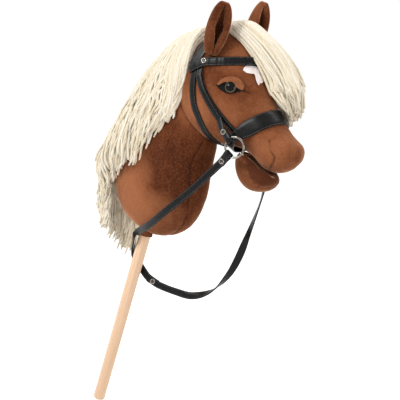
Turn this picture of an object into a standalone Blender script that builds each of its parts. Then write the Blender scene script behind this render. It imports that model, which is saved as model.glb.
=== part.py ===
"""A toy hobby horse: a stuffed velvet head and neck on a wooden stick, with a yarn mane, glass eyes
and a strap bridle with loose rings, a bit and reins.

Frame: metres, +Z up along the stick, the nose towards +X, the horse's left side towards +Y.
The origin is the centre of the flat on the stick's lower end.
"""

import math

import bmesh
import bpy
from mathutils import Matrix, Vector
from mathutils.bvhtree import BVHTree

# Clearances
SEAT_GAP = 0.0003
STRAP_GAP = 0.0006
RING_PLAY = 0.0005
PAD_SINK = 0.0012
PAD_STRAP_ROOM = 0.0011

RIGHT = -1
LEFT = 1

# Stick and the cloth pocket that holds it
STICK_RADIUS = 0.010
STICK_LENGTH = 0.480
STICK_END_ROUNDING = 0.0045
STICK_TOP_CHAMFER = 0.0015
POCKET_WALL = 0.0018
POCKET_LOWER_END = 0.310
CUFF_ROLL_RADIUS = 0.0012

# Neck
NECK_WIDTH = 0.086
NECK_DEPTH = 0.190
NECK_BASE_HEIGHT = 0.318
NECK_TOP_HEIGHT = 0.668

# Head: its axis starts behind the skull and runs down to the nose
HEAD_BACK_X = 0.005
HEAD_BACK_HEIGHT = 0.610
HEAD_PITCH = math.radians(36)
HEAD_LENGTH = 0.250
HEAD_WIDTH = 0.102
FOREHEAD_RISE = 0.104
CHEEK_DROP = 0.060

# Lower jaw
JAW_ROOT = Vector((0.142, 0.0, 0.498))
JAW_PITCH = math.radians(24)
JAW_LENGTH = 0.080
JAW_WIDTH = 0.060
JAW_DEPTH = 0.020

# Ears
EAR_LENGTH = 0.084
EAR_WIDTH = 0.036
EAR_THICKNESS = 0.0052
# Place of each ear's root (forward, spread and height), its lean forward and outward, and the way that its opening faces:
# the sewn ears stand a little unevenly
EAR_STANCES = {
    RIGHT: (0.063, 0.047, 0.639, 0.04, 0.00, (1.0, -0.80, 0.0)),
    LEFT: (0.068, 0.045, 0.646, -0.01, 0.03, (1.0, -0.25, 0.0)),
}

# Eyes
EYE_X = 0.115
EYE_HEIGHT = 0.598
EYE_RADIUS = 0.0093
EYE_DOME = 0.0068
EYE_STEM_RADIUS = 0.0025
EYE_STEM_LENGTH = 0.014
WASHER_RADIUS = 0.007
WASHER_THICKNESS = 0.0022
WASHER_DEPTH = 0.010
PATCH_THICKNESS = 0.0014
EYELID_THICKNESS = 0.0040
EYELID_CLEARANCE = 0.0006

# Star
STAR_ALONG = 0.086
STAR_ACROSS = -0.003
STAR_RADIUS = 0.026
STAR_INNER_SHARE = 0.57
STAR_TURN = math.radians(-20)
STAR_THICKNESS = 0.0010

# Bridle straps
STRAP_THICKNESS = 0.0020
STRAP_STEP = 0.006
HEADPIECE_WIDTH = 0.017
BROWBAND_WIDTH = 0.0135
BROWBAND_END_DROP = 0.011
CHEEKPIECE_WIDTH = 0.0105
HANGER_WIDTH = 0.0090
THROATLATCH_WIDTH = 0.0115
NOSEBAND_WIDTH = 0.026
CHIN_STRAP_WIDTH = 0.015

BROWBAND_RIVET_X = 0.057
BROWBAND_RIVET_HEIGHT = 0.624

# Rings, bit and reins
RING_OUTER_RADIUS = 0.0175
RING_WIRE_RADIUS = 0.00175
RING_X = 0.155
RING_HEIGHT = 0.515
RING_STANDOFF = 0.0460
RING_YAW = math.radians(8)
CHEEK_LOOP_ANGLE = math.radians(146)
REIN_LOOP_ANGLE_RIGHT = math.radians(-116)
REIN_LOOP_ANGLE_LEFT = math.radians(-69)
LOOP_TAIL = 0.0095
LOOP_TAB = 0.0100
BIT_EYE_ANGLE = math.radians(-16)
BIT_WIRE_RADIUS = 0.0013
REIN_WIDTH = 0.0125
REIN_THICKNESS = 0.0022
REIN_LAP_PLACE = Vector((0.027, 0.021, 0.235))
REIN_LAP_FACING = Vector((0.574, -0.819, 0.0))

# Rivets
RIVET_RADIUS = 0.0044
RIVET_HEIGHT = 0.0016
RIVET_HOLLOW = 0.0013
RIVET_SHANK_RADIUS = 0.0013
RIVET_FOOT_RADIUS = 0.0027
RIVET_FOOT_HEIGHT = 0.0006

CAGE_SIDES = 8
CAGE_SWELL = 3 / (2 + math.cos(2 * math.pi / CAGE_SIDES))


def clear_scene():
    """Start from an empty scene."""
    for obj in list(bpy.data.objects):
        bpy.data.objects.remove(obj, do_unlink=True)


def new_collection(name):
    """A collection linked to the scene."""
    collection = bpy.data.collections.new(name)
    bpy.context.scene.collection.children.link(collection)
    return collection


def finish_material(name, color, roughness, metallic=0.0):
    """A Principled material in one finish."""
    material = bpy.data.materials.new(name)
    material.use_nodes = True
    shader = material.node_tree.nodes["Principled BSDF"]
    shader.inputs["Base Color"].default_value = (*color, 1.0)
    shader.inputs["Roughness"].default_value = roughness
    shader.inputs["Metallic"].default_value = metallic
    return material


def add_mesh(name, vertices, faces, collection):
    """A mesh object with its faces turned outward."""
    mesh = bpy.data.meshes.new(name)
    mesh.from_pydata([tuple(v) for v in vertices], [], faces)
    build = bmesh.new()
    build.from_mesh(mesh)
    bmesh.ops.recalc_face_normals(build, faces=build.faces)
    if build.calc_volume(signed=True) < 0:
        bmesh.ops.reverse_faces(build, faces=build.faces)
    build.to_mesh(mesh)
    build.free()
    mesh.shade_smooth()
    obj = bpy.data.objects.new(name, mesh)
    collection.objects.link(obj)
    return obj


def evaluated_mesh(obj):
    """The object's mesh with its modifiers applied, in world space."""
    bpy.context.view_layer.update()
    graph = bpy.context.evaluated_depsgraph_get()
    mesh = bpy.data.meshes.new_from_object(obj.evaluated_get(graph), depsgraph=graph)
    mesh.transform(obj.matrix_world)
    return mesh


def make_cutter(obj):
    """Keep an object out of the model, as a cutter only."""
    obj.hide_render = True
    obj.display_type = "WIRE"
    return obj


def swollen_cutter(obj, amount, collection):
    """A cutter of an object's own shape, larger by one clearance all round."""
    mesh = evaluated_mesh(obj)
    build = bmesh.new()
    build.from_mesh(mesh)
    build.normal_update()
    for vertex in build.verts:
        vertex.co += vertex.normal * amount
    build.to_mesh(mesh)
    build.free()
    cutter = bpy.data.objects.new(obj.name + "_cutter", mesh)
    collection.objects.link(cutter)
    return make_cutter(cutter)


def cut(obj, cutter):
    """Take a cutter's volume out of an object."""
    boolean = obj.modifiers.new("cut_" + cutter.name, "BOOLEAN")
    boolean.operation = "DIFFERENCE"
    boolean.object = cutter


def subdivide(obj, levels):
    """Round a coarse cage."""
    modifier = obj.modifiers.new("rounding", "SUBSURF")
    modifier.levels = levels
    modifier.render_levels = levels


def smooth_values(points, count):
    """A centripetal curve through hand-chosen points, read at evenly spaced places."""
    points = [Vector(p) for p in points]
    ends = [points[0] * 2 - points[1]] + points + [points[-1] * 2 - points[-2]]
    fine = []
    pieces = 12
    for i in range(1, len(ends) - 2):
        before, start, stop, after = ends[i - 1 : i + 3]
        for k in range(pieces):
            t = k / pieces
            fine.append(
                0.5
                * (
                    2 * start
                    + (stop - before) * t
                    + (2 * before - 5 * start + 4 * stop - after) * t**2
                    + (3 * start - before - 3 * stop + after) * t**3
                )
            )
    fine.append(points[-1])
    lengths = [0.0]
    for first, second in zip(fine, fine[1:]):
        lengths.append(lengths[-1] + (Vector(second[:3]) - Vector(first[:3])).length)
    result = []
    segment = 0
    for k in range(count):
        wanted = lengths[-1] * k / (count - 1)
        while segment < len(fine) - 2 and lengths[segment + 1] < wanted:
            segment += 1
        span = max(lengths[segment + 1] - lengths[segment], 1e-9)
        share = min(max((wanted - lengths[segment]) / span, 0.0), 1.0)
        result.append(fine[segment].lerp(fine[segment + 1], share))
    return result


def cage_form(name, rings, start_tip, end_tip, collection, levels=2):
    """A stuffed form: a coarse cage of rings between two tips, rounded by subdivision."""
    sides = len(rings[0])
    vertices = [point for ring in rings for point in ring]
    faces = []
    for r in range(len(rings) - 1):
        for k in range(sides):
            a = r * sides + k
            b = r * sides + (k + 1) % sides
            faces.append((a, b, b + sides, a + sides))
    start = len(vertices)
    vertices += [start_tip, end_tip]
    last = (len(rings) - 1) * sides
    for k in range(sides):
        following = (k + 1) % sides
        faces.append((following, k, start))
        faces.append((last + k, last + following, start + 1))
    obj = add_mesh(name, vertices, faces, collection)
    subdivide(obj, levels)
    return obj


def oval_ring(centre, upward, rise, drop, half_width, squareness=1.0):
    """One ring of a cage, in the plane of `upward` and the width axis."""
    ring = []
    for k in range(CAGE_SIDES):
        angle = 2 * math.pi * k / CAGE_SIDES
        high = math.cos(angle)
        wide = math.sin(angle)
        corner = squareness if abs(high * wide) > 0.1 else 1.0
        height = (rise if high > 0 else drop) * high * corner
        point = centre + upward * height * CAGE_SWELL
        point = point + Vector((0, half_width * wide * corner * CAGE_SWELL, 0))
        ring.append(point)
    return ring


def turned(name, profile, steps, collection, closed=False):
    """A turned piece: a profile of (radius, height) points, from its top down, round +Z."""
    mesh = bpy.data.meshes.new(name)
    vertices = [(radius, 0.0, height) for radius, height in profile]
    edges = [(i, i + 1) for i in range(len(profile) - 1)]
    if closed:
        edges.append((len(profile) - 1, 0))
    mesh.from_pydata(vertices, edges, [])
    obj = bpy.data.objects.new(name, mesh)
    collection.objects.link(obj)
    screw = obj.modifiers.new("turning", "SCREW")
    screw.axis = "Z"
    screw.steps = steps
    screw.render_steps = steps
    screw.use_merge_vertices = True
    screw.merge_threshold = 0.00001
    screw.use_smooth_shade = True
    return obj


def stand_along(obj, place, direction):
    """Put a turned piece at a place with its +Z along a direction."""
    turn = Vector(direction).to_track_quat("Z", "Y").to_matrix().to_4x4()
    obj.matrix_world = Matrix.Translation(place) @ turn


class Surface:
    """The outside of some objects, which a ray can feel."""

    def __init__(self, objects):
        vertices = []
        faces = []
        for obj in objects:
            mesh = evaluated_mesh(obj)
            start = len(vertices)
            vertices += [v.co.copy() for v in mesh.vertices]
            faces += [[start + i for i in polygon.vertices] for polygon in mesh.polygons]
            bpy.data.meshes.remove(mesh)
        self.tree = BVHTree.FromPolygons(vertices, faces)

    def reach(self, middle, outward, far=0.30):
        """How far out from `middle` the surface lies along `outward`; None where there is none."""
        hit, _, _, distance = self.tree.ray_cast(middle + outward * far, -outward, far)
        return None if hit is None else far - distance

    def point(self, middle, outward):
        """The surface point itself and the direction that the surface faces there."""
        hit, normal, _, _ = self.tree.ray_cast(middle + outward * 0.3, -outward, 0.3)
        return hit, normal


def head_directions():
    """The head's own axes: forward along the face, and up out of the forehead."""
    forward = Vector((math.cos(HEAD_PITCH), 0, -math.sin(HEAD_PITCH)))
    upward = Vector((math.sin(HEAD_PITCH), 0, math.cos(HEAD_PITCH)))
    return forward, upward


def head_point(along, up):
    """A point of the middle plane in the head's own axes."""
    forward, upward = head_directions()
    return Vector((HEAD_BACK_X, 0, HEAD_BACK_HEIGHT)) + forward * along + upward * up


def model_head(collection):
    """Skull, cheeks and upper muzzle: full behind the eyes, drawn in at the nose, full at the lips."""
    forward, upward = head_directions()
    # Shares of the head's length, the top and bottom of each section as shares of the forehead's
    # rise and the cheek's drop, and the share of the head's width
    sections = (
        (-0.03, 0.72, -0.10, 0.52),
        (0.06, 0.96, -0.95, 0.83),
        (0.20, 1.00, -1.14, 0.96),
        (0.37, 0.88, -1.04, 1.00),
        (0.53, 0.81, -0.64, 0.81),
        (0.65, 0.78, -0.06, 0.70),
        (0.78, 0.76, 0.24, 0.72),
        (0.89, 0.82, 0.28, 0.72),
        (0.96, 0.76, 0.50, 0.50),
    )
    rings = []
    for along, top, bottom, width in sections:
        top *= FOREHEAD_RISE
        bottom *= CHEEK_DROP
        middle = head_point(along * HEAD_LENGTH, (top + bottom) / 2)
        half = (top - bottom) / 2
        rings.append(oval_ring(middle, upward, half, half, width * HEAD_WIDTH / 2))
    start_tip = head_point(-0.06 * HEAD_LENGTH, 0.35 * FOREHEAD_RISE)
    end_tip = head_point(0.99 * HEAD_LENGTH, 0.54 * FOREHEAD_RISE)
    return cage_form("head", rings, start_tip, end_tip, collection)


def model_neck(collection):
    """Neck with a rounded base, leaning forward to the poll."""
    upward = Vector((1, 0, 0))
    # Share of the height, front and back as shares of half the depth, share of the width
    sections = (
        (0.02, 0.52, -0.30, 0.50),
        (0.06, 0.74, -0.60, 0.78),
        (0.13, 0.94, -0.88, 0.96),
        (0.25, 1.02, -0.99, 1.00),
        (0.42, 0.95, -0.98, 0.99),
        (0.64, 0.83, -0.75, 0.88),
        (0.85, 0.67, -0.32, 0.67),
    )
    rings = []
    for share, front, back, width in sections:
        height = NECK_BASE_HEIGHT + share * (NECK_TOP_HEIGHT - NECK_BASE_HEIGHT)
        front *= NECK_DEPTH / 2
        back *= NECK_DEPTH / 2
        middle = Vector(((front + back) / 2, 0, height))
        half = (front - back) / 2
        rings.append(oval_ring(middle, upward, half, half, width * NECK_WIDTH / 2, 1.03))
    start_tip = Vector((0.12 * NECK_DEPTH / 2, 0, NECK_BASE_HEIGHT))
    end_tip = Vector((0.30 * NECK_DEPTH / 2, 0, NECK_TOP_HEIGHT))
    return cage_form("neck", rings, start_tip, end_tip, collection)


def model_lower_jaw(collection):
    """Stuffed lower jaw, hanging open: a round lobe with a flatter inside."""
    forward = Vector((math.cos(JAW_PITCH), 0, -math.sin(JAW_PITCH)))
    upward = Vector((math.sin(JAW_PITCH), 0, math.cos(JAW_PITCH)))
    # Share of the length, rise of the inside and drop of the chin as shares of the depth, width
    sections = (
        (0.03, 1.05, 0.55, 0.72),
        (0.30, 1.13, 1.22, 0.93),
        (0.62, 1.13, 1.18, 1.02),
        (0.86, 1.05, 0.44, 0.87),
    )
    rings = []
    for share, rise, drop, width in sections:
        rise *= JAW_DEPTH
        drop *= JAW_DEPTH
        middle = JAW_ROOT + forward * share * JAW_LENGTH + upward * (rise - drop) / 2
        half = (rise + drop) / 2
        rings.append(oval_ring(middle, upward, half, half, width * JAW_WIDTH / 2, 1.08))
    start_tip = JAW_ROOT - forward * 0.10 * JAW_LENGTH
    end_tip = JAW_ROOT + forward * 0.97 * JAW_LENGTH + upward * 0.5 * JAW_DEPTH
    return cage_form("lower_jaw", rings, start_tip, end_tip, collection)


def model_ear(side, collection):
    """A stiff leaf of two layers, rolled at its base and open to the front."""
    x, spread, height, forward, outward, opening = EAR_STANCES[side]
    base = Vector((x, side * spread, height))
    lean = Vector((forward, side * outward, 1.0)).normalized()
    opening = Vector(opening)
    opening = (opening - lean * opening.dot(lean)).normalized()
    across = lean.cross(opening)
    # Share of the length, share of the half width, half angle of the roll; the root is sewn into the head
    sections = (
        (-0.03, 0.50, 158),
        (0.00, 0.54, 157),
        (0.16, 0.82, 152),
        (0.38, 1.00, 143),
        (0.60, 0.98, 132),
        (0.80, 0.80, 118),
        (0.94, 0.50, 102),
        (1.00, 0.20, 92),
    )
    columns = 6
    vertices = []
    for share, width, roll in sections:
        radius = width * EAR_WIDTH / 2
        middle = base + lean * share * EAR_LENGTH
        for k in range(columns + 1):
            angle = math.radians(roll) * (2 * k / columns - 1)
            point = middle - opening * radius * math.cos(angle) + across * radius * math.sin(angle)
            vertices.append(point)
    faces = []
    row = columns + 1
    for r in range(len(sections) - 1):
        for k in range(columns):
            a = r * row + k
            faces.append((a, a + 1, a + row + 1, a + row))
    name = "ear_right" if side == RIGHT else "ear_left"
    obj = add_mesh(name, vertices, faces, collection)
    layer = obj.modifiers.new("layers", "SOLIDIFY")
    layer.thickness = EAR_THICKNESS
    layer.offset = 0
    subdivide(obj, 1)
    return obj


def model_stick(collection):
    """Round stick: rounded lower end with a small flat, chamfered top."""
    profile = [(0.0, STICK_LENGTH), (STICK_RADIUS - STICK_TOP_CHAMFER, STICK_LENGTH)]
    profile.append((STICK_RADIUS, STICK_LENGTH - STICK_TOP_CHAMFER))
    steps = 4
    for k in range(steps + 1):
        angle = math.pi / 2 * k / steps
        radius = STICK_RADIUS - STICK_END_ROUNDING * (1 - math.cos(angle))
        profile.append((radius, STICK_END_ROUNDING * (1 - math.sin(angle))))
    profile.append((0.0, 0.0))
    return turned("stick", profile, 32, collection)


def pocket_radius():
    """Outside radius of the pocket."""
    return STICK_RADIUS + SEAT_GAP + POCKET_WALL


def model_stick_pocket(collection):
    """Cloth sleeve closed over the stick's top, with a rolled hem below."""
    inner = STICK_RADIUS + SEAT_GAP
    outer = pocket_radius()
    top_inside = STICK_LENGTH + SEAT_GAP
    profile = [(0.0, top_inside + POCKET_WALL), (outer, top_inside + POCKET_WALL)]
    roll_middle = POCKET_LOWER_END + CUFF_ROLL_RADIUS
    steps = 4
    for k in range(steps + 1):
        angle = math.pi / 2 - math.pi * k / steps
        radius = outer + CUFF_ROLL_RADIUS * math.cos(angle)
        profile.append((radius, roll_middle + CUFF_ROLL_RADIUS * math.sin(angle)))
    profile += [(inner, POCKET_LOWER_END), (inner, top_inside), (0.0, top_inside)]
    return turned("stick_pocket", profile, 32, collection)


def pocket_bore(collection):
    """The room in the neck for the pocket."""
    radius = pocket_radius() + SEAT_GAP
    top = STICK_LENGTH + POCKET_WALL + 2 * SEAT_GAP
    below = NECK_BASE_HEIGHT - 0.02
    profile = [(0.0, top), (radius, top), (radius, below), (0.0, below)]
    return make_cutter(turned("pocket_bore", profile, 32, collection))


def sided(name, side):
    """The name of one of a pair."""
    return name + ("_right" if side == RIGHT else "_left")


def mirrored(point):
    """The same place on the other side of the middle plane."""
    return Vector((point.x, -point.y, point.z))


def on_side(point, side):
    """A place worked out for the right side, or its mirror image for the left."""
    return point if side == RIGHT else mirrored(point)


def surface_frame(plush, x, height):
    """Where a sideways ray meets the head's right side: the point, its facing, forward and up."""
    place, facing = plush.point(Vector((x, 0, height)), Vector((0, RIGHT, 0)))
    forward = Vector((1, 0, 0))
    forward = (forward - facing * forward.dot(facing)).normalized()
    return place, facing, forward, facing.cross(forward)


def felt_point(plush, frame, forward, upward, lift):
    """The point of a surface under a place in a tangent frame, lifted off along the facing."""
    place, facing, forward_axis, up_axis = frame
    depth = 0.03
    middle = place + forward_axis * forward + up_axis * upward - facing * depth
    return middle + facing * (plush.reach(middle, facing, 0.06) + lift)


def patch_from_rows(name, rows, facing, thickness, collection):
    """A thin piece with a rounded outline: rows of points, all of one length, given a thickness."""
    vertices = [point for row in rows for point in row]
    columns = len(rows[0])
    faces = []
    for r in range(len(rows) - 1):
        for k in range(columns - 1):
            a = r * columns + k
            faces.append((a, a + 1, a + columns + 1, a + columns))
    mesh = bpy.data.meshes.new(name)
    mesh.from_pydata([tuple(v) for v in vertices], [], faces)
    if mesh.polygons[len(faces) // 2].normal.dot(facing) < 0:
        mesh.flip_normals()
    mesh.shade_smooth()
    obj = bpy.data.objects.new(name, mesh)
    collection.objects.link(obj)
    layer = obj.modifiers.new("thickness", "SOLIDIFY")
    layer.thickness = thickness
    layer.offset = 1.0
    return obj


def model_eye_patch(side, plush, frame, collection):
    """Almond of felt under an eye."""
    # Place forward of the eye's centre, middle height and half width; the rear corner hangs lower
    controls = (
        (-0.0245, -0.0045, 0.0006),
        (-0.0190, -0.0036, 0.0042),
        (-0.0139, -0.0025, 0.0068),
        (-0.0070, -0.0008, 0.0098),
        (0.0000, 0.0000, 0.0105),
        (0.0062, 0.0000, 0.0092),
        (0.0107, -0.0008, 0.0064),
        (0.0167, -0.0008, 0.0035),
        (0.0232, 0.0000, 0.0006),
    )
    rows = []
    for forward, middle, half_width in smooth_values(controls, 15):
        row = []
        for across in (-1, -0.5, 0, 0.5, 1):
            point = felt_point(plush, frame, forward, middle + across * half_width, SEAT_GAP)
            row.append(on_side(point, side))
        rows.append(row)
    return patch_from_rows(sided("eye_patch", side), rows, on_side(frame[1], side), PATCH_THICKNESS, collection)


def eye_seat(patch, frame):
    """Height of the eye's flat back over the head's surface point, clear of the patch's highest part."""
    place, facing, forward, up = frame
    surface = Surface([patch])
    depth = 0.03
    heights = []
    for k in range(12):
        angle = 2 * math.pi * k / 12
        for radius in (EYE_RADIUS * 0.9, EYE_RADIUS * 0.5):
            middle = place - facing * depth
            middle = middle + forward * radius * math.cos(angle) + up * radius * math.sin(angle)
            reached = surface.reach(middle, facing, 0.06)
            if reached is not None:
                heights.append(reached - depth)
    return max(heights) + SEAT_GAP


def model_eye(side, seat, frame, collection):
    """Domed safety eye on a stem."""
    steps = 5
    profile = []
    for k in range(steps + 1):
        angle = math.pi / 2 * k / steps
        profile.append((EYE_RADIUS * math.sin(angle), 0.001 + (EYE_DOME - 0.001) * math.cos(angle)))
    profile += [(EYE_RADIUS, 0.0), (EYE_STEM_RADIUS, 0.0)]
    profile += [(EYE_STEM_RADIUS, -EYE_STEM_LENGTH), (0.0, -EYE_STEM_LENGTH)]
    eye = turned(sided("eye", side), profile, 24, collection)
    place, facing, _, _ = frame
    stand_along(eye, on_side(place + facing * seat, side), on_side(facing, side))
    return eye


def model_eye_washer(side, seat, frame, collection):
    """Lock washer pressed on an eye's stem inside the stuffing."""
    inner = EYE_STEM_RADIUS + SEAT_GAP
    profile = [(inner, 0.0), (WASHER_RADIUS, 0.0), (WASHER_RADIUS, -WASHER_THICKNESS)]
    profile += [(inner, -WASHER_THICKNESS)]
    washer = turned(sided("eye_washer", side), profile, 24, collection, closed=True)
    place, facing, _, _ = frame
    stand_along(washer, on_side(place + facing * (seat - WASHER_DEPTH), side), on_side(facing, side))
    return washer


def eye_cavity(side, seat, frame, collection):
    """The room in the stuffing for an eye's stem and its washer."""
    stem = EYE_STEM_RADIUS + SEAT_GAP
    room = WASHER_RADIUS + SEAT_GAP
    room_top = -WASHER_DEPTH + SEAT_GAP
    room_floor = -EYE_STEM_LENGTH - SEAT_GAP
    profile = [(0.0, 0.004), (stem, 0.004), (stem, room_top), (room, room_top)]
    profile += [(room, room_floor), (0.0, room_floor)]
    cavity = turned(sided("eye_cavity", side), profile, 24, collection)
    place, facing, _, _ = frame
    stand_along(cavity, on_side(place + facing * seat, side), on_side(facing, side))
    return make_cutter(cavity)


def model_eyelid(side, plush, patch, frame, collection):
    """Crescent-shaped upper lid round the eye's dome."""
    surface = Surface([patch])
    depth = 0.03
    place, facing, forward, up = frame
    inner = EYE_RADIUS + EYELID_CLEARANCE
    # Lower and upper edge, each as the place forward of the eye's centre and the height over it
    controls = (
        (-0.0245, -0.0050, 0.0, -0.0275, -0.0034),
        (-0.0180, 0.0002, 0.0, -0.0215, 0.0070),
        (-0.0120, 0.0042, 0.0, -0.0140, 0.0130),
        (-0.0060, 0.0080, 0.0, -0.0055, 0.0168),
        (0.0000, 0.0099, 0.0, 0.0025, 0.0186),
        (0.0066, 0.0075, 0.0, 0.0110, 0.0174),
        (0.0101, 0.0030, 0.0, 0.0190, 0.0128),
        (0.0160, 0.0006, 0.0, 0.0243, 0.0070),
        (0.0228, -0.0008, 0.0, 0.0262, 0.0010),
    )
    rows = []
    for low_forward, low_height, _, high_forward, high_height in smooth_values(controls, 17):
        near_eye = max(inner / math.hypot(low_forward, low_height), 1.0)
        low = Vector((low_forward, low_height, 0)) * near_eye
        high = Vector((high_forward, high_height, 0))
        row = []
        for share in (0.0, 0.35, 0.70, 1.0):
            along = low.lerp(high, share)
            middle = place + forward * along.x + up * along.y
            middle = middle - facing * depth
            heights = [plush.reach(middle, facing, 0.06)]
            over_patch = surface.reach(middle, facing, 0.06)
            heights.append(heights[0] + PATCH_THICKNESS + SEAT_GAP)
            if over_patch is not None:
                heights.append(over_patch)
            row.append(on_side(middle + facing * (max(heights) + SEAT_GAP), side))
        rows.append(row)
    return patch_from_rows(sided("eyelid", side), rows, on_side(facing, side), EYELID_THICKNESS, collection)


def head_ray(along, angle, rise=0.0):
    """A ray from inside the head: its start on the head's axis and its direction round that axis."""
    _, upward = head_directions()
    outward = upward * math.cos(angle) + Vector((0, 1, 0)) * math.sin(angle)
    return head_point(along, rise), outward


def model_star_patch(plush, collection):
    """Five-pointed star sewn on the forehead."""
    _, upward = head_directions()
    outline = []
    for k in range(10):
        angle = STAR_TURN + math.pi * k / 5
        radius = STAR_RADIUS * (1.0 if k % 2 == 0 else STAR_INNER_SHARE)
        outline.append((radius * math.cos(angle), radius * math.sin(angle)))
    vertices = []
    shares = (0.0, 0.35, 0.70, 1.0)
    for share in shares:
        for forward, sideways in outline if share else [(0.0, 0.0)]:
            middle = head_point(STAR_ALONG + forward * share, 0.03)
            middle = middle + Vector((0, STAR_ACROSS + sideways * share, 0))
            vertices.append(middle + upward * (plush.reach(middle, upward) + 2 * STRAP_GAP))
    faces = []
    for k in range(10):
        after = (k + 1) % 10
        faces.append((0, 1 + k, 1 + after))
        for ring in range(len(shares) - 2):
            a = 1 + 10 * ring
            faces.append((a + k, a + 10 + k, a + 10 + after, a + after))
    mesh = bpy.data.meshes.new("star_patch")
    mesh.from_pydata([tuple(v) for v in vertices], [], faces)
    if mesh.polygons[0].normal.dot(upward) < 0:
        mesh.flip_normals()
    obj = bpy.data.objects.new("star_patch", mesh)
    collection.objects.link(obj)
    layer = obj.modifiers.new("thickness", "SOLIDIFY")
    layer.thickness = STAR_THICKNESS
    layer.offset = 1.0
    return obj


def pad_between(name, inner, outer, collection):
    """A closed pad between two grids of points of one size."""
    columns = len(inner[0])
    rows = len(inner)
    vertices = [point for row in inner for point in row] + [point for row in outer for point in row]
    start = rows * columns
    faces = []
    for r in range(rows - 1):
        for k in range(columns - 1):
            a = r * columns + k
            quad = (a, a + 1, a + columns + 1, a + columns)
            faces.append(tuple(reversed(quad)))
            faces.append(tuple(start + i for i in quad))
    rim = [k for k in range(columns)]
    rim += [r * columns + columns - 1 for r in range(1, rows)]
    rim += [(rows - 1) * columns + k for k in range(columns - 2, -1, -1)]
    rim += [r * columns for r in range(rows - 2, 0, -1)]
    for first, second in zip(rim, rim[1:] + rim[:1]):
        faces.append((first, second, start + second, start + first))
    return add_mesh(name, vertices, faces, collection)


def fit_pad(pad, forms, straps, collection):
    """Cut a pad to the stuffed forms that it lies on and to the flat pieces between them."""
    for form in forms:
        cut(pad, swollen_cutter(form, SEAT_GAP, collection))
    for strap in straps:
        cut(pad, swollen_cutter(strap, PAD_STRAP_ROOM, collection))


def model_mane(surface, collection):
    """Yarn mane: one thick fall over the crest and both sides, hanging on behind the neck's base."""
    # Place of the ray's start (height as a share of the neck's), rise of the crest's facing, fall on
    # the right and on the left side (degrees round from the crest), thickness, least radius, drop of
    # the left end
    controls = (
        (0.020, 0.869, 60, 90, 90, 0.025, 0.0, 0.0),
        (0.004, 0.783, 45, 106, 104, 0.027, 0.0, 0.0),
        (-0.015, 0.691, 30, 134, 122, 0.026, 0.0, 0.0),
        (-0.030, 0.606, 20, 130, 124, 0.025, 0.0, 0.0),
        (-0.042, 0.506, 12, 122, 122, 0.025, 0.0, 0.0),
        (-0.050, 0.391, 5, 112, 118, 0.030, 0.0, 0.0),
        (-0.052, 0.291, 0, 84, 112, 0.038, 0.0, 0.0),
        (-0.052, 0.211, -4, 44, 108, 0.040, 0.030, 0.0),
        (-0.050, 0.134, -8, 14, 104, 0.041, 0.036, 0.004),
        (-0.048, 0.063, -8, 4, 102, 0.036, 0.038, 0.010),
        (-0.046, 0.011, -6, 0, 100, 0.029, 0.038, 0.024),
        (-0.046, -0.029, -4, 0, 98, 0.016, 0.037, 0.038),
    )
    neck_height = NECK_TOP_HEIGHT - NECK_BASE_HEIGHT
    extras = [(x, 0.0, NECK_BASE_HEIGHT + share * neck_height, *rest) for x, share, *rest in controls]
    dense = []
    count = 28
    for value in smooth_values(extras, count):
        dense.append(value)
    columns = 13
    inner = []
    outer = []
    for x, _, z, rise, right, left, thick, least, drop in dense:
        rise = math.radians(rise)
        back = Vector((-math.cos(rise), 0, math.sin(rise)))
        inner_row = []
        outer_row = []
        for k in range(columns):
            share = 2 * k / (columns - 1) - 1
            angle = math.radians(share * (left if share > 0 else right))
            outward = back * math.cos(angle) + Vector((0, 1, 0)) * math.sin(angle)
            middle = Vector((x, 0, z - drop * max(math.sin(angle), 0)))
            reached = surface.reach(middle, outward) or 0.0
            height = max(reached - PAD_SINK, least)
            inner_row.append(middle + outward * height)
            fullness = thick * (1 - 0.6 * share * share)
            outer_row.append(middle + outward * (height + fullness))
        inner.append(inner_row)
        outer.append(outer_row)
    return pad_between("mane", inner, outer, collection)


def model_forelock(surface, collection):
    """Yarn forelock: a thick lock from between the ears over the face, towards its left side."""
    # Place along the head, near and far edge (degrees round the head's axis), thickness, and how far
    # the underside stands off the face: the tips hang clear of the noseband
    controls = (
        (-0.009, -12, 13, 0.015, 0.0022),
        (-0.002, -12, 13, 0.018, 0.0026),
        (0.006, -13, 15, 0.023, 0.0036),
        (0.014, -14, 17, 0.027, 0.0008),
        (0.024, -14, 17, 0.029, -PAD_SINK),
        (0.045, -12, 20, 0.032, -PAD_SINK),
        (0.080, -9, 25, 0.045, -PAD_SINK),
        (0.112, -4, 24.5, 0.052, -PAD_SINK),
        (0.130, -3, 26, 0.051, -PAD_SINK),
        (0.148, -1, 31, 0.042, 0.0060),
        (0.172, 6, 33, 0.020, 0.0080),
    )
    inner = []
    outer = []
    columns = 9
    places = [(along, 0.0, 0.0, *rest) for along, *rest in controls]
    for along, _, _, near, far, thick, lift in smooth_values(places, 24):
        inner_row = []
        outer_row = []
        for k in range(columns):
            share = k / (columns - 1)
            angle = math.radians(near + (far - near) * share)
            middle, outward = head_ray(along, angle, 0.010)
            height = surface.reach(middle, outward) + lift
            fullness = thick * (0.45 + 0.55 * math.sin(math.pi * share) ** 0.7)
            inner_row.append(middle + outward * height)
            outer_row.append(middle + outward * (height + fullness))
        inner.append(inner_row)
        outer.append(outer_row)
    return pad_between("forelock", inner, outer, collection)


def ring_axes(side):
    """The ring's own axes: its turning axis out from the cheek, forward in its plane, and up."""
    outward = Vector((math.sin(RING_YAW), side * math.cos(RING_YAW), 0))
    forward = Vector((math.cos(RING_YAW), -side * math.sin(RING_YAW), 0))
    return outward, forward, Vector((0, 0, 1))


def ring_centre(side):
    """Centre of a bit ring."""
    return Vector((RING_X, side * RING_STANDOFF, RING_HEIGHT))


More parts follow.
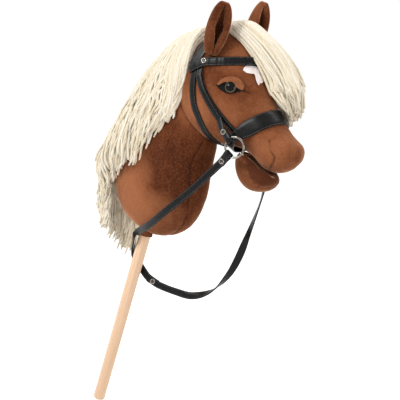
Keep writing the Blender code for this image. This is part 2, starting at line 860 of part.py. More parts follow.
def wire_place(side, angle):
    """Centre of the ring's wire at an angle, the direction out from the ring's centre, and the axis."""
    outward, forward, up = ring_axes(side)
    radial = forward * math.cos(angle) + up * math.sin(angle)
    return ring_centre(side) + radial * (RING_OUTER_RADIUS - RING_WIRE_RADIUS), radial, outward


def model_bit_ring(side, parts):
    """Loose ring of round wire, its origin and +Z on the axis that it turns about."""
    bpy.ops.mesh.primitive_torus_add(
        major_segments=28,
        minor_segments=8,
        major_radius=RING_OUTER_RADIUS - RING_WIRE_RADIUS,
        minor_radius=RING_WIRE_RADIUS,
    )
    ring = bpy.context.object
    ring.name = sided("bit_ring", side)
    ring.data.shade_smooth()
    for collection in list(ring.users_collection):
        collection.objects.unlink(ring)
    parts.objects.link(ring)
    stand_along(ring, ring_centre(side), ring_axes(side)[0])
    return ring


def wire_bent(name, points, radius, collection, spline_type="POLY"):
    """Round wire along points, with closed ends."""
    curve = bpy.data.curves.new(name, "CURVE")
    curve.dimensions = "3D"
    curve.bevel_depth = radius
    curve.bevel_resolution = 2
    curve.use_fill_caps = True
    spline = curve.splines.new(spline_type)
    spline.points.add(len(points) - 1)
    for point, place in zip(spline.points, points):
        point.co = (*place, 1.0)
    obj = bpy.data.objects.new(name, curve)
    collection.objects.link(obj)
    mesh = evaluated_mesh(obj)
    bpy.data.objects.remove(obj, do_unlink=True)
    build = bmesh.new()
    build.from_mesh(mesh)
    bmesh.ops.remove_doubles(build, verts=build.verts, dist=0.00001)
    bmesh.ops.recalc_face_normals(build, faces=build.faces)
    build.to_mesh(mesh)
    build.free()
    mesh.shade_smooth()
    result = bpy.data.objects.new(name, mesh)
    collection.objects.link(result)
    return result


def bit_half(side):
    """Points of half the mouthpiece, from its loop's free end round the ring's wire to the middle."""
    wire, radial, outward = wire_place(side, BIT_EYE_ANGLE)
    bend = RING_WIRE_RADIUS + RING_PLAY + BIT_WIRE_RADIUS
    points = []
    steps = 11
    for k in range(steps + 1):
        turn = math.radians(368 - 278 * k / steps)
        points.append(wire - outward * bend * math.cos(turn) + radial * bend * math.sin(turn))
    points.append(points[-1] - outward * 0.007)
    return points


def model_bit_mouthpiece(collection):
    """Wire bit: a straight bar through the mouth with a bent loop round each ring."""
    right = bit_half(RIGHT)
    left = bit_half(LEFT)
    return wire_bent("bit_mouthpiece", right + left[::-1], BIT_WIRE_RADIUS, collection)


def widened(values):
    """Each value raised to its neighbours', so that a cover starts before an edge."""
    count = len(values)
    return [max(values[max(i - 1, 0) : min(i + 2, count)]) for i in range(count)]


def laid_height(middle, outward, plush, covers):
    """How far out the stuffed forms lie along a ray, and how much more the straps on them add."""
    base = plush.reach(middle, outward)
    lift = 0.0
    for cover in covers:
        reached = cover.reach(middle, outward)
        if reached is not None and base is not None:
            lift = max(lift, reached - base)
    return base, lift


def pulled_taut(middles, outwards, heights, closed, rounds=160):
    """Heights of a strap that bridges hollows: it never sinks below the heights given."""
    least = list(heights)
    count = len(heights)
    places = range(count) if closed else range(1, count - 1)
    for _ in range(rounds):
        for i in places:
            after = (i + 1) % count
            before_point = middles[i - 1] + outwards[i - 1] * heights[i - 1]
            after_point = middles[after] + outwards[after] * heights[after]
            straight = ((before_point + after_point) / 2 - middles[i]).dot(outwards[i])
            heights[i] = max(least[i], straight)
    return heights


def laid_strap(stations, widths, plush, covers, closed=False):
    """Rows of a strap laid over the stuffed forms and over the straps already on them."""
    count = len(stations)
    centre_line = [middle + outward * plush.reach(middle, outward) for middle, outward in stations]
    sideways = []
    for i, (middle, outward) in enumerate(stations):
        if closed:
            ahead = centre_line[(i + 1) % count] - centre_line[i - 1]
        else:
            ahead = centre_line[min(i + 1, count - 1)] - centre_line[max(i - 1, 0)]
        sideways.append(ahead.cross(outward).normalized())
    outwards = [outward for _, outward in stations]
    edges = []
    for edge in (-1, 1):
        middles = []
        bases = []
        lifts = []
        for (middle, outward), across, width in zip(stations, sideways, widths):
            felt = []
            for share in (1.0, 0.5, 0.0):
                start = middle + across * (edge * share * width / 2)
                felt.append(laid_height(start, outward, plush, covers))
            bases.append(max(base for base, _ in felt if base is not None))
            lifts.append(max(lift for _, lift in felt))
            middles.append(middle + across * (edge * width / 2))
        lifts = [lift + (STRAP_GAP if lift > 0 else 0) for lift in widened(lifts)]
        heights = [base + lift + STRAP_GAP for base, lift in zip(bases, lifts)]
        heights = pulled_taut(middles, outwards, heights, closed)
        edges.append([m + o * h for m, o, h in zip(middles, outwards, heights)])
    return list(zip(edges[0], edges[1], outwards))


def mirrored_rows(rows):
    """The rows of the same strap on the other side of the head."""
    return [(mirrored(right), mirrored(left), mirrored(facing)) for left, right, facing in rows]


def strap_from_rows(name, rows, thickness, collection, closed=False):
    """A strap: rows of left edge, right edge and facing direction, given a thickness outward."""
    vertices = []
    for left, right, _ in rows:
        vertices += [left, right]
    count = len(rows)
    faces = []
    for i in range(count if closed else count - 1):
        a = 2 * i
        b = 2 * ((i + 1) % count)
        faces.append((a, a + 1, b + 1, b))
    mesh = bpy.data.meshes.new(name)
    mesh.from_pydata([tuple(v) for v in vertices], [], faces)
    obj = bpy.data.objects.new(name, mesh)
    collection.objects.link(obj)
    layer = obj.modifiers.new("leather", "SOLIDIFY")
    layer.thickness = thickness
    layer.offset = 1.0
    return obj


def loop_rows(side, angle, width):
    """Rows of a strap that comes in to a ring, turns round its wire and lies back under itself."""
    wire, radial, outward = wire_place(side, angle)
    toward = -radial
    across = toward.cross(outward)
    wire_circle = RING_OUTER_RADIUS - RING_WIRE_RADIUS
    curving = wire_circle - math.sqrt(wire_circle**2 - (width / 2) ** 2)
    bend = RING_WIRE_RADIUS + RING_PLAY + curving / 2
    centre = wire + toward * curving / 2
    start = math.pi - math.acos(bend / LOOP_TAIL)
    apart = STRAP_GAP / 2
    places = [(-LOOP_TAIL - LOOP_TAB, apart), (-LOOP_TAIL, apart)]
    steps = 8
    for k in range(steps + 1):
        turn = start - 2 * start * k / steps
        places.append((bend * math.cos(turn), bend * math.sin(turn)))
    places += [(-LOOP_TAIL, -apart), (-LOOP_TAIL - LOOP_TAB, -apart)]
    rows = []
    for along, high in places:
        point = centre + toward * along + outward * high
        rows.append((point - across * width / 2, point + across * width / 2, outward))
    return rows


def loop_rivet_place(side, angle, width, thickness):
    """Where a loop's rivet sits on the strap's outer face, and the direction that it faces."""
    rows = loop_rows(side, angle, width)
    first = (rows[0][0] + rows[0][1]) / 2
    second = (rows[1][0] + rows[1][1]) / 2
    outward = rows[0][2]
    return first.lerp(second, 0.5) + outward * thickness, outward


def model_rivet(name, place, outward, through, collection):
    """Tubular rivet: hollow domed cap on a strap's face, shank through the straps, and a foot."""
    top = SEAT_GAP
    foot = -through - SEAT_GAP
    profile = [
        (0.0, top + RIVET_HEIGHT * 0.35),
        (RIVET_HOLLOW, top + RIVET_HEIGHT * 0.35),
        (RIVET_HOLLOW * 1.4, top + RIVET_HEIGHT),
        (RIVET_RADIUS * 0.72, top + RIVET_HEIGHT * 0.92),
        (RIVET_RADIUS * 0.93, top + RIVET_HEIGHT * 0.55),
        (RIVET_RADIUS, top),
        (RIVET_SHANK_RADIUS, top),
        (RIVET_SHANK_RADIUS, foot),
        (RIVET_FOOT_RADIUS, foot),
        (RIVET_FOOT_RADIUS, foot - RIVET_FOOT_HEIGHT),
        (0.0, foot - RIVET_FOOT_HEIGHT),
    ]
    rivet = turned(name, profile, 12, collection)
    stand_along(rivet, place, outward)
    return rivet


def rivet_room(name, place, outward, through, collection):
    """A cutter for a rivet's shank, and for its foot beneath the straps."""
    shank = RIVET_SHANK_RADIUS + SEAT_GAP
    foot = RIVET_FOOT_RADIUS + SEAT_GAP
    floor = -through - RIVET_FOOT_HEIGHT - 2 * SEAT_GAP
    profile = [(0.0, 0.002), (shank, 0.002), (shank, -through), (foot, -through)]
    profile += [(foot, floor), (0.0, floor)]
    room = turned(name, profile, 12, collection)
    stand_along(room, place, outward)
    return make_cutter(room)


def felt_stations(points, step=STRAP_STEP):
    """Stations of a strap on the head: (x, tilt, height) with the tilt turning the felt direction.

    A tilt of 0 feels straight out to the right side and a quarter turn feels straight down.
    """
    reach = 0.045
    curve = [(x, tilt * reach, z) for x, tilt, z in points]
    length = sum((Vector(b) - Vector(a)).length for a, b in zip(curve, curve[1:]))
    stations = []
    for x, tilt, z in smooth_values(curve, max(round(length / step), 2) + 1):
        tilt /= reach
        stations.append((Vector((x, 0, z)), Vector((0, -math.cos(tilt), -math.sin(tilt)))))
    return stations


def girth_stations(middle, incline, start, stop, count):
    """Stations round the head in a plane: `incline` is the plane's rise, angles run from its top."""
    upward = Vector((math.cos(incline), 0, math.sin(incline)))
    stations = []
    for k in range(count):
        angle = start + (stop - start) * k / (count - 1)
        outward = upward * math.cos(angle) + Vector((0, 1, 0)) * math.sin(angle)
        stations.append((Vector(middle), outward.normalized()))
    return stations


def model_headpiece(plush, collection):
    """Strap over the poll, behind the ears."""
    edge = math.radians(86)
    stations = girth_stations((0.034, 0, 0.606), math.radians(78), -edge, edge, 27)
    widths = [HEADPIECE_WIDTH] * len(stations)
    rows = laid_strap(stations, widths, plush, [])
    return strap_from_rows("headpiece", rows, STRAP_THICKNESS, collection)


def model_browband(plush, covers, collection):
    """Strap across the forehead whose ends lie over the tops of the side straps."""
    edge = math.radians(122)
    stations = girth_stations((0.060, 0, 0.6235), math.radians(18), -edge, edge, 41)
    for k, (middle, outward) in enumerate(stations):
        past_side = max(abs(edge * (2 * k / 40 - 1)) - math.pi / 2, 0.0) / (edge - math.pi / 2)
        middle.z -= BROWBAND_END_DROP * past_side**1.5
    widths = [BROWBAND_WIDTH] * len(stations)
    rows = laid_strap(stations, widths, plush, covers)
    return strap_from_rows("browband", rows, STRAP_THICKNESS, collection)


def model_noseband(plush, covers, collection):
    """Strap round the nose, wide on top and narrow behind the rings and under the chin."""
    count = 46
    turn = 2 * math.pi * (count - 1) / count
    stations = girth_stations((0.159, 0, 0.543), math.radians(47), 0, turn, count)
    widths = []
    for k in range(count):
        share = (1 - math.cos(2 * math.pi * k / count)) / 2
        share = min(max((share - 0.42) / 0.30, 0.0), 1.0)
        widths.append(NOSEBAND_WIDTH + (CHIN_STRAP_WIDTH - NOSEBAND_WIDTH) * share)
    rows = laid_strap(stations, widths, plush, covers, closed=True)
    return strap_from_rows("noseband", rows, STRAP_THICKNESS, collection, closed=True)


def model_throatlatch(plush, collection):
    """Strap from behind the cheeks round under the throat."""
    half = [
        (0.042, 0.0, 0.607),
        (0.044, 0.0, 0.595),
        (0.050, 0.0, 0.575),
        (0.060, 0.0, 0.554),
        (0.072, 0.0, 0.538),
        (0.085, 0.30, 0.530),
        (0.098, 0.85, 0.527),
        (0.104, math.pi / 2, 0.527),
    ]
    other = [(x, math.pi - tilt, z) for x, tilt, z in reversed(half[:-1])]
    stations = felt_stations(half + other)
    widths = [THROATLATCH_WIDTH] * len(stations)
    rows = laid_strap(stations, widths, plush, [])
    return strap_from_rows("throatlatch", rows, STRAP_THICKNESS, collection)


def model_hangers(plush, collection):
    """Straps from under the browband's ends down to the noseband."""
    path = [(0.059, 0.596), (0.066, 0.588), (0.084, 0.573), (0.103, 0.559), (0.122, 0.547)]
    path += [(0.140, 0.537), (0.151, 0.532)]
    stations = felt_stations([(x, 0.0, z) for x, z in path])
    rows = laid_strap(stations, [HANGER_WIDTH] * len(stations), plush, [])
    both = []
    for side in (RIGHT, LEFT):
        name = sided("noseband_hanger", side)
        own = rows if side == RIGHT else mirrored_rows(rows)
        both.append(strap_from_rows(name, own, STRAP_THICKNESS, collection))
    return both


def model_cheekpieces(plush, covers, collection):
    """Straps from the browband's ends down to the rings, each looped round its ring."""
    path = [(0.052, 0.612), (0.057, 0.600), (0.068, 0.586), (0.083, 0.572), (0.100, 0.558), (0.114, 0.547)]
    stations = felt_stations([(x, 0.0, z) for x, z in path])
    rows = laid_strap(stations, [CHEEKPIECE_WIDTH] * len(stations), plush, covers)
    rows += loop_rows(RIGHT, CHEEK_LOOP_ANGLE, CHEEKPIECE_WIDTH)
    both = []
    for side in (RIGHT, LEFT):
        name = sided("cheekpiece", side)
        own = rows if side == RIGHT else mirrored_rows(rows)
        both.append(strap_from_rows(name, own, STRAP_THICKNESS, collection))
    return both


def route_rows(route, count, width, thickness):
    """Rows along a hand-chosen route of places with the direction that the strap faces at each."""
    values = smooth_values([(*place, *facing) for place, facing in route], count)
    middles = [Vector(value[:3]) for value in values]
    facings = [Vector(value[3:]).normalized() for value in values]
    rows = []
    for i, (middle, facing) in enumerate(zip(middles, facings)):
        ahead = middles[min(i + 1, count - 1)] - middles[max(i - 1, 0)]
        across = ahead.cross(facing).normalized()
        facing = across.cross(ahead).normalized()
        middle = middle - facing * thickness / 2
        rows.append((middle - across * width / 2, middle + across * width / 2, facing))
    return rows


def model_rein(side, route, angle, collection):
    """A flat rein: a loop round its ring, then down its route to the lap beside the stick."""
    loop = loop_rows(side, angle, REIN_WIDTH)
    way = [(Vector(place), Vector(facing)) for place, facing in route]
    leave = (loop[0][0] + loop[0][1]) / 2 + loop[0][2] * REIN_THICKNESS / 2
    way = way + [(leave, loop[0][2])]
    rows = route_rows(way, 44, REIN_WIDTH, REIN_THICKNESS)[:-1]
    return strap_from_rows(sided("rein", side), rows + loop, REIN_THICKNESS, collection)


def lap_routes():
    """The hand-chosen routes of both reins, from the lap beside the stick up to the rings."""
    facing = REIN_LAP_FACING
    half_step = (REIN_THICKNESS + STRAP_GAP) / 2
    under = REIN_LAP_PLACE - facing * half_step
    over = REIN_LAP_PLACE + facing * half_step
    right_way = Vector((0.819, 0.574, 0.0))
    right = [
        (under + right_way * 0.009 + Vector((0, 0, -0.003)), facing),
        (under, facing),
        (under - right_way * 0.012 + Vector((0, 0, 0.005)) - facing * 0.0008, facing),
        (Vector((-0.0045, 0.0122, 0.254)), (0.35, -0.94, 0.0)),
        (Vector((-0.0118, 0.0065, 0.264)), (0.88, -0.48, 0.0)),
        (Vector((-0.0130, -0.0040, 0.280)), (0.95, 0.31, 0.0)),
        (Vector((-0.0100, -0.0140, 0.299)), (0.60, 0.80, 0.0)),
        (Vector((0.0060, -0.0270, 0.319)), (0.30, -0.95, 0.20)),
        (Vector((0.0350, -0.0430, 0.342)), (0.15, -0.98, 0.10)),
        (Vector((0.0670, -0.0540, 0.377)), (0.05, -1.00, 0.0)),
        (Vector((0.1020, -0.0530, 0.424)), (0.0, -1.00, 0.0)),
        (Vector((0.1240, -0.0510, 0.458)), (0.05, -1.00, 0.0)),
    ]
    left = [
        (over - right_way * 0.009 + Vector((0, 0, 0.003)), facing),
        (over, facing),
        (over + right_way * 0.014 + Vector((0, 0, -0.004)), facing),
        (Vector((0.065, 0.040, 0.230)), (0.50, -0.86, 0.0)),
        (Vector((0.098, 0.046, 0.236)), (0.40, -0.80, 0.40)),
        (Vector((0.132, 0.047, 0.260)), (-0.62, -0.40, 0.55)),
        (Vector((0.152, 0.047, 0.294)), (-0.75, 0.30, 0.40)),
        (Vector((0.162, 0.047, 0.330)), (-0.60, 0.75, 0.20)),
        (Vector((0.168, 0.046, 0.380)), (0.45, 0.89, 0.0)),
        (Vector((0.171, 0.047, 0.430)), (0.80, 0.60, 0.0)),
        (Vector((0.169, 0.048, 0.462)), (0.55, 0.83, 0.0)),
    ]
    return right, left


def rivet_straps(browband, head, cheekpieces, reins, parts, cutters):
    """Rivet the browband's ends, the loops on the rings and the lap of the reins."""
    face = Surface([browband])
    for side in (RIGHT, LEFT):
        middle = Vector((BROWBAND_RIVET_X, 0, BROWBAND_RIVET_HEIGHT))
        place, outward = face.point(middle, Vector((0, side, 0)))
        name = sided("browband_rivet", side)
        model_rivet(name, place, outward, STRAP_THICKNESS, parts)
        room = rivet_room(name + "_room", place, outward, STRAP_THICKNESS, cutters)
        cut(browband, room)
        cut(head, room)
    loops = (
        ("cheek_rivet", cheekpieces, (CHEEK_LOOP_ANGLE, CHEEK_LOOP_ANGLE), CHEEKPIECE_WIDTH, STRAP_THICKNESS),
        ("rein_rivet", reins, (REIN_LOOP_ANGLE_RIGHT, REIN_LOOP_ANGLE_LEFT), REIN_WIDTH, REIN_THICKNESS),
    )
    for base_name, straps, angles, width, thickness in loops:
        for side, strap, angle in zip((RIGHT, LEFT), straps, angles):
            place, outward = loop_rivet_place(side, angle, width, thickness)
            name = sided(base_name, side)
            through = 2 * thickness + STRAP_GAP
            model_rivet(name, place, outward, through, parts)
            cut(strap, rivet_room(name + "_room", place, outward, through, cutters))
    through = 2 * REIN_THICKNESS + STRAP_GAP
    place = REIN_LAP_PLACE + REIN_LAP_FACING.normalized() * through / 2
    model_rivet("rein_centre_rivet", place, REIN_LAP_FACING, through, parts)
    room = rivet_room("rein_centre_room", place, REIN_LAP_FACING, through, cutters)
    for rein in reins:
        cut(rein, room)


def color_parts(parts):
    """Give every piece its finish."""
    velvet = (0.27, 0.095, 0.040)
    yarn = (0.80, 0.70, 0.52)
    leather = (0.016, 0.016, 0.018)
    chrome = (0.75, 0.75, 0.76)
    finishes = {
        "stick": ((0.82, 0.56, 0.34), 0.45, 0.0),
        "stick_pocket": (velvet, 0.9, 0.0),
        "eye": ((0.02, 0.012, 0.008), 0.05, 0.0),
        "eye_patch": ((0.008, 0.008, 0.008), 0.95, 0.0),
        "eye_washer": ((0.6, 0.6, 0.58), 0.5, 0.0),
        "eyelid": ((0.36, 0.15, 0.07), 0.9, 0.0),
        "star_patch": ((0.85, 0.78, 0.76), 0.5, 0.0),
        "lower_jaw": (velvet, 0.9, 0.0),
        "neck": (velvet, 0.9, 0.0),
        "head": (velvet, 0.9, 0.0),
        "ear": (velvet, 0.9, 0.0),
        "mane": (yarn, 0.9, 0.0),
        "forelock": (yarn, 0.9, 0.0),
        "bit": (chrome, 0.12, 1.0),
        "leather": (leather, 0.35, 0.0),
    }
    for obj in parts.objects:
        plain = obj.name.replace("_right", "").replace("_left", "")
        if "rivet" in plain or "bit" in plain:
            plain = "bit"
        color, roughness, metallic = finishes.get(plain, finishes["leather"])
        material = finish_material(obj.name + "_finish", color, roughness, metallic)
        obj.data.materials.clear()
        obj.data.materials.append(material)


def main():
    clear_scene()
    parts = new_collection("hobby_horse")
    cutters = new_collection("cutters")
    head = model_head(parts)
    neck = model_neck(parts)
    jaw = model_lower_jaw(parts)
    ears = [model_ear(side, parts) for side in (RIGHT, LEFT)]
    model_stick(parts)
    model_stick_pocket(parts)
    head_cutter = swollen_cutter(head, SEAT_GAP, cutters)
    cut(neck, head_cutter)
    cut(neck, pocket_bore(cutters))
    for piece in [jaw, *ears]:
        cut(piece, head_cutter)
    plush = Surface([head, neck, jaw])

    star = model_star_patch(plush, parts)
    cut(star, head_cutter)
    headpiece = model_headpiece(plush, parts)
    throatlatch = model_throatlatch(plush, parts)
    hangers = model_hangers(plush, parts)
    noseband = model_noseband(Surface([head]), [Surface(hangers)], parts)
    cut(jaw, swollen_cutter(noseband, SEAT_GAP, cutters))
    side_straps = hangers + [throatlatch, headpiece, star]
    cheekpieces = model_cheekpieces(plush, [Surface([piece]) for piece in side_straps], parts)
    side_straps += cheekpieces
    browband = model_browband(plush, [Surface([piece]) for piece in side_straps], parts)

    mane = model_mane(plush, parts)
    fit_pad(mane, [head, neck], [headpiece], cutters)
    forelock = model_forelock(Surface([head, headpiece]), parts)
    fit_pad(forelock, [head], [star, browband], cutters)

    frame = surface_frame(plush, EYE_X, EYE_HEIGHT)
    for side in (RIGHT, LEFT):
        patch = model_eye_patch(side, plush, frame, parts)
        if side == RIGHT:
            seat = eye_seat(patch, frame)
            lid_patch = patch
        cavity = eye_cavity(side, seat, frame, cutters)
        cut(patch, cavity)
        cut(head, cavity)
        model_eye(side, seat, frame, parts)
        model_eye_washer(side, seat, frame, parts)
        model_eyelid(side, plush, lid_patch, frame, parts)

    for side in (RIGHT, LEFT):
        model_bit_ring(side, parts)
    bit = model_bit_mouthpiece(parts)
    bit_cutter = swollen_cutter(bit, SEAT_GAP, cutters)
    cut(head, bit_cutter)
    cut(jaw, bit_cutter)

    right_route, left_route = lap_routes()
    reins = [
        model_rein(RIGHT, right_route, REIN_LOOP_ANGLE_RIGHT, parts),
        model_rein(LEFT, left_route, REIN_LOOP_ANGLE_LEFT, parts),
    ]
    rivet_straps(browband, head, cheekpieces, reins, parts, cutters)

    color_parts(parts)


main()
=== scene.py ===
"""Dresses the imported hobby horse: velvet, yarn, leather, bright metal, glossy eyes and beech."""
import math
import random
from contextlib import contextmanager
from typing import NamedTuple

import bmesh
import bpy
import numpy as np
from bpy.props import FloatProperty, FloatVectorProperty, IntProperty, PointerProperty
from mathutils import Matrix, Vector, noise
from mathutils.bvhtree import BVHTree
from mathutils.kdtree import KDTree


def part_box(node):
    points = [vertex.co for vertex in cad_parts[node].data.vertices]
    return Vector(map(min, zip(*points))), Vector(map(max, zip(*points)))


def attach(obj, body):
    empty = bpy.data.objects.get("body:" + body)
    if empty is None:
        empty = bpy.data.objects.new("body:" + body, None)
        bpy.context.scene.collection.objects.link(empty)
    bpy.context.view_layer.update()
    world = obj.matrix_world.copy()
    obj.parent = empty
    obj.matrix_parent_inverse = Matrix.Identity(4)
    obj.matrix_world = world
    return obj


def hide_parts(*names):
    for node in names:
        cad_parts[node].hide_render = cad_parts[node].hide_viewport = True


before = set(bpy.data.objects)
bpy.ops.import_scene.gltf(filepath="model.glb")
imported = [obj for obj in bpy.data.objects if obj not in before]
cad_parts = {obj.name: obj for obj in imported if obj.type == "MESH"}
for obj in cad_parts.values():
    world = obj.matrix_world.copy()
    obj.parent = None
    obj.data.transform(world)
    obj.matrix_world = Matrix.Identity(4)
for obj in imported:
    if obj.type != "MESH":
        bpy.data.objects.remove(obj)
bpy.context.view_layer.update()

bl_info = {
    "name": "Hobby Horse Dressing",
    "version": (1, 0, 0),
    "blender": (4, 5, 0),
    "location": "View3D > Sidebar > Hobby Horse",
    "description": "Builds the velvet, yarn, tack and stage of a stuffed hobby horse round its solids",
    "category": "Object",
}

# The body that carries everything but the two loose rings
BODY = "horse"
RIGHT = -1
LEFT = 1
SIDE_WORDS = {RIGHT: "right", LEFT: "left"}

# Cells that the smaller pieces are modelled in; the stuffed ones have the panel's
EAR_CELL = 0.0011
PATCH_CELL = 0.00042
LID_CELL = 0.00052
STAR_CELL = 0.00045
YARN_BED_CELL = 0.003

# The camera: its distance from the point in the middle of the picture, its angles and its roll
CAMERA_AIM = Vector((0.0823, 0.0096, 0.4032))
CAMERA_DISTANCE = 1.5
CAMERA_AZIMUTH = math.radians(35)
CAMERA_ELEVATION = math.radians(12)
CAMERA_ROLL = math.radians(16.4)
CAMERA_LENS = 82.6

# The head's own axes
HEAD_BACK = Vector((0.005, 0.0, 0.610))
HEAD_PITCH = math.radians(36)
HEAD_FORWARD = Vector((math.cos(HEAD_PITCH), 0, -math.sin(HEAD_PITCH)))
HEAD_UPWARD = Vector((math.sin(HEAD_PITCH), 0, math.cos(HEAD_PITCH)))
JAW_PITCH = math.radians(24)
JAW_ROOT = Vector((0.142, 0.0, 0.498))
# How far the jaw's top is hollowed, and its bottom lowered, from the solid's
JAW_HOLLOW = 0.0075
JAW_DROP = 0.0035

# Rings, loops, straps and reins, as on the solids
RING_OUTER_RADIUS = 0.0175
RING_WIRE_RADIUS = 0.00175
RING_PLAY = 0.0005
RING_CENTRE = Vector((0.155, 0.046, 0.515))
RING_YAW = math.radians(8)
BIT_WIRE_RADIUS = 0.0013
CHEEK_LOOP_ANGLE = math.radians(146)
REIN_LOOP_ANGLES = {RIGHT: math.radians(-116), LEFT: math.radians(-69)}
LOOP_TAIL = 0.0095
LOOP_TAB = 0.0100
STRAP_GAP = 0.0006
STRAP_THICKNESS = 0.0020
HEADPIECE_WIDTH = 0.0170
BROWBAND_WIDTH = 0.0135
CHEEKPIECE_WIDTH = 0.0105
HANGER_WIDTH = 0.0090
THROATLATCH_WIDTH = 0.0115
NOSEBAND_TOP_WIDTH = 0.026
NOSEBAND_LOW_WIDTH = 0.015
REIN_WIDTH = 0.0125
REIN_THICKNESS = 0.0022
REIN_LAP_PLACE = Vector((0.027, 0.021, 0.235))
REIN_LAP_FACING = Vector((0.574, -0.819, 0.0))
REIN_LAP_WAY = Vector((0.819, 0.574, 0.0))


# ---------------------------------------------------------------- Sizes and colours


def length_property(name, description, default, low, high):
    return FloatProperty(
        name=name, description=description, default=default, min=low, max=high, unit="LENGTH"
    )


def count_property(name, description, default, low, high):
    return IntProperty(name=name, description=description, default=default, min=low, max=high)


class HorseSizes(bpy.types.PropertyGroup):
    """Sizes of the sewn and spun details."""

    cloth_voxel: length_property(
        "Cloth cell", "Size of the cells that the velvet is modelled in", 0.0024, 0.0015, 0.006
    )
    seam_depth: length_property(
        "Seam depth", "How far a seam draws the stuffed velvet in", 0.0016, 0.0, 0.004
    )
    yarn_radius: length_property("Yarn radius", "Half the width of one yarn strand", 0.0019, 0.0008, 0.003)
    mane_strands: count_property("Mane strands", "Number of yarn strands in the mane", 2050, 100, 2500)
    forelock_strands: count_property(
        "Forelock strands", "Number of yarn strands in the forelock", 340, 50, 800
    )
    stitch_pitch: length_property(
        "Stitch pitch", "Distance from one stitch of a strap to the next", 0.0032, 0.0015, 0.008
    )
    stitch_inset: length_property(
        "Stitch inset", "Distance of the stitching from a strap's edge", 0.0017, 0.0008, 0.004
    )


def color_property(name, description, default):
    return FloatVectorProperty(
        name=name, description=description, default=default, size=3, min=0.0, max=1.0, subtype="COLOR"
    )


class HorseColors(bpy.types.PropertyGroup):
    """Colours of the horse's cloth, yarn, leather and fittings."""

    velvet: color_property("Velvet", "Body velvet brushed smooth", (0.170, 0.048, 0.0175))
    # The shade and light colours are mixed into the velvet at random, and are also painted shade and painted
    # light in given spots; the shade colour is also painted shade along the seams
    velvet_shade: color_property("Velvet shade", "Body velvet brushed up", (0.062, 0.015, 0.0055))
    velvet_light: color_property("Velvet light", "Bloom of the pile", (0.470, 0.180, 0.080))
    lid: color_property("Eyelid", "Lighter velvet of the eyelids", (0.360, 0.145, 0.068))
    # The mouth colour is also the painted shade deep in the ears
    mouth: color_property("Mouth", "Darker velvet inside the mouth", (0.085, 0.024, 0.011))
    yarn: color_property("Yarn", "Cream wool yarn", (0.860, 0.785, 0.640))
    leather: color_property("Leather", "Black strap leather", (0.0038, 0.0036, 0.0036))
    thread: color_property("Thread", "Thread of the straps' stitching", (0.150, 0.145, 0.140))
    seam_thread: color_property("Seam thread", "Thread of the velvet's darts", (0.075, 0.024, 0.012))
    metal: color_property("Metal", "Bright plated metal", (0.400, 0.385, 0.365))
    beech: color_property("Beech", "Sanded beech", (0.850, 0.600, 0.410))
    felt: color_property("Felt", "Black felt under the eyes", (0.0070, 0.0065, 0.0060))
    satin: color_property("Satin", "Pale satin of the star", (0.880, 0.760, 0.740))
    iris: color_property("Iris", "Ring of colour in the eyes", (0.095, 0.078, 0.052))


def sizes():
    return bpy.context.scene.horse_sizes


def colors():
    return bpy.context.scene.horse_colors


# ---------------------------------------------------------------- Meshes


def linked(name, data):
    """A new object in the scene."""
    obj = bpy.data.objects.new(name, data)
    bpy.context.scene.collection.objects.link(obj)
    return obj


def new_piece(name, vertices, faces, smooth=True):
    """A mesh object in the scene from points in the row's frame."""
    mesh = bpy.data.meshes.new(name)
    mesh.from_pydata([tuple(v) for v in vertices], [], faces)
    mesh.update()
    if smooth:
        mesh.shade_smooth()
    return linked(name, mesh)


def settle(piece, material, slot, *nodes, body=BODY):
    """Finish a piece, let it ride its body and let it stand for the solids that it dresses."""
    piece.data.materials.clear()
    piece.data.materials.append(material)
    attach(piece, body)
    if nodes:
        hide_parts(*nodes)
    return piece


@contextmanager
def edited(mesh):
    """A mesh opened as a bmesh, and written back after its edits."""
    bm = bmesh.new()
    bm.from_mesh(mesh)
    yield bm
    bm.to_mesh(mesh)
    bm.free()


def face_out(mesh):
    """Turn all faces of a closed mesh outward."""
    with edited(mesh) as bm:
        bmesh.ops.recalc_face_normals(bm, faces=bm.faces)


def welded(node, name):
    """A copy of a solid with its corners welded and its triangles paired into quads."""
    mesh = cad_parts[node].data.copy()
    mesh.name = name
    with edited(mesh) as bm:
        bmesh.ops.remove_doubles(bm, verts=bm.verts, dist=2e-6)
        bmesh.ops.join_triangles(
            bm, faces=bm.faces, angle_face_threshold=math.radians(30), angle_shape_threshold=math.radians(60)
        )
    mesh.materials.clear()
    mesh.shade_smooth()
    return linked(name, mesh)


def applied(obj):
    """Make the modified shape of an object its own mesh."""
    depsgraph = bpy.context.evaluated_depsgraph_get()
    mesh = bpy.data.meshes.new_from_object(obj.evaluated_get(depsgraph))
    obj.modifiers.clear()
    old = obj.data
    obj.data = mesh
    bpy.data.meshes.remove(old)
    mesh.shade_smooth()
    return obj


def triples(items, name):
    """Three numbers of each item as an array."""
    values = np.zeros(len(items) * 3, np.float32)
    items.foreach_get(name, values)
    return values.reshape(-1, 3)


def points_of(mesh):
    return triples(mesh.vertices, "co")


def normals_of(mesh):
    return triples(mesh.vertex_normals, "vector")


def set_points(mesh, places):
    mesh.vertices.foreach_set("co", places.astype(np.float32).ravel())
    mesh.update()


def pushed(piece, distances):
    """Move each place of a piece's surface outward by its own distance."""
    mesh = piece.data
    set_points(mesh, points_of(mesh) + normals_of(mesh) * distances[:, None])


def store(mesh, name, values):
    """Keep one number for each vertex, for a material to read."""
    layer = mesh.attributes.get(name) or mesh.attributes.new(name, "FLOAT", "POINT")
    layer.data.foreach_set("value", np.full(len(mesh.vertices), values, np.float32))


def bell(away, width):
    """1 at no distance, falling off softly over a width."""
    return np.exp(-((away / width) ** 2))


def spots_at(places, spots):
    """The sum of round spots at each place; a spot is its place, its radius and its amount."""
    total = np.zeros(len(places))
    for middle, radius, amount in spots:
        total += amount * bell(np.linalg.norm(places - np.array(middle), axis=1), radius)
    return total


def within(places, low, high, reach):
    """Numbers of the places in a box that is widened by a reach."""
    return np.flatnonzero(((places > np.array(low) - reach) & (places < np.array(high) + reach)).all(axis=1))


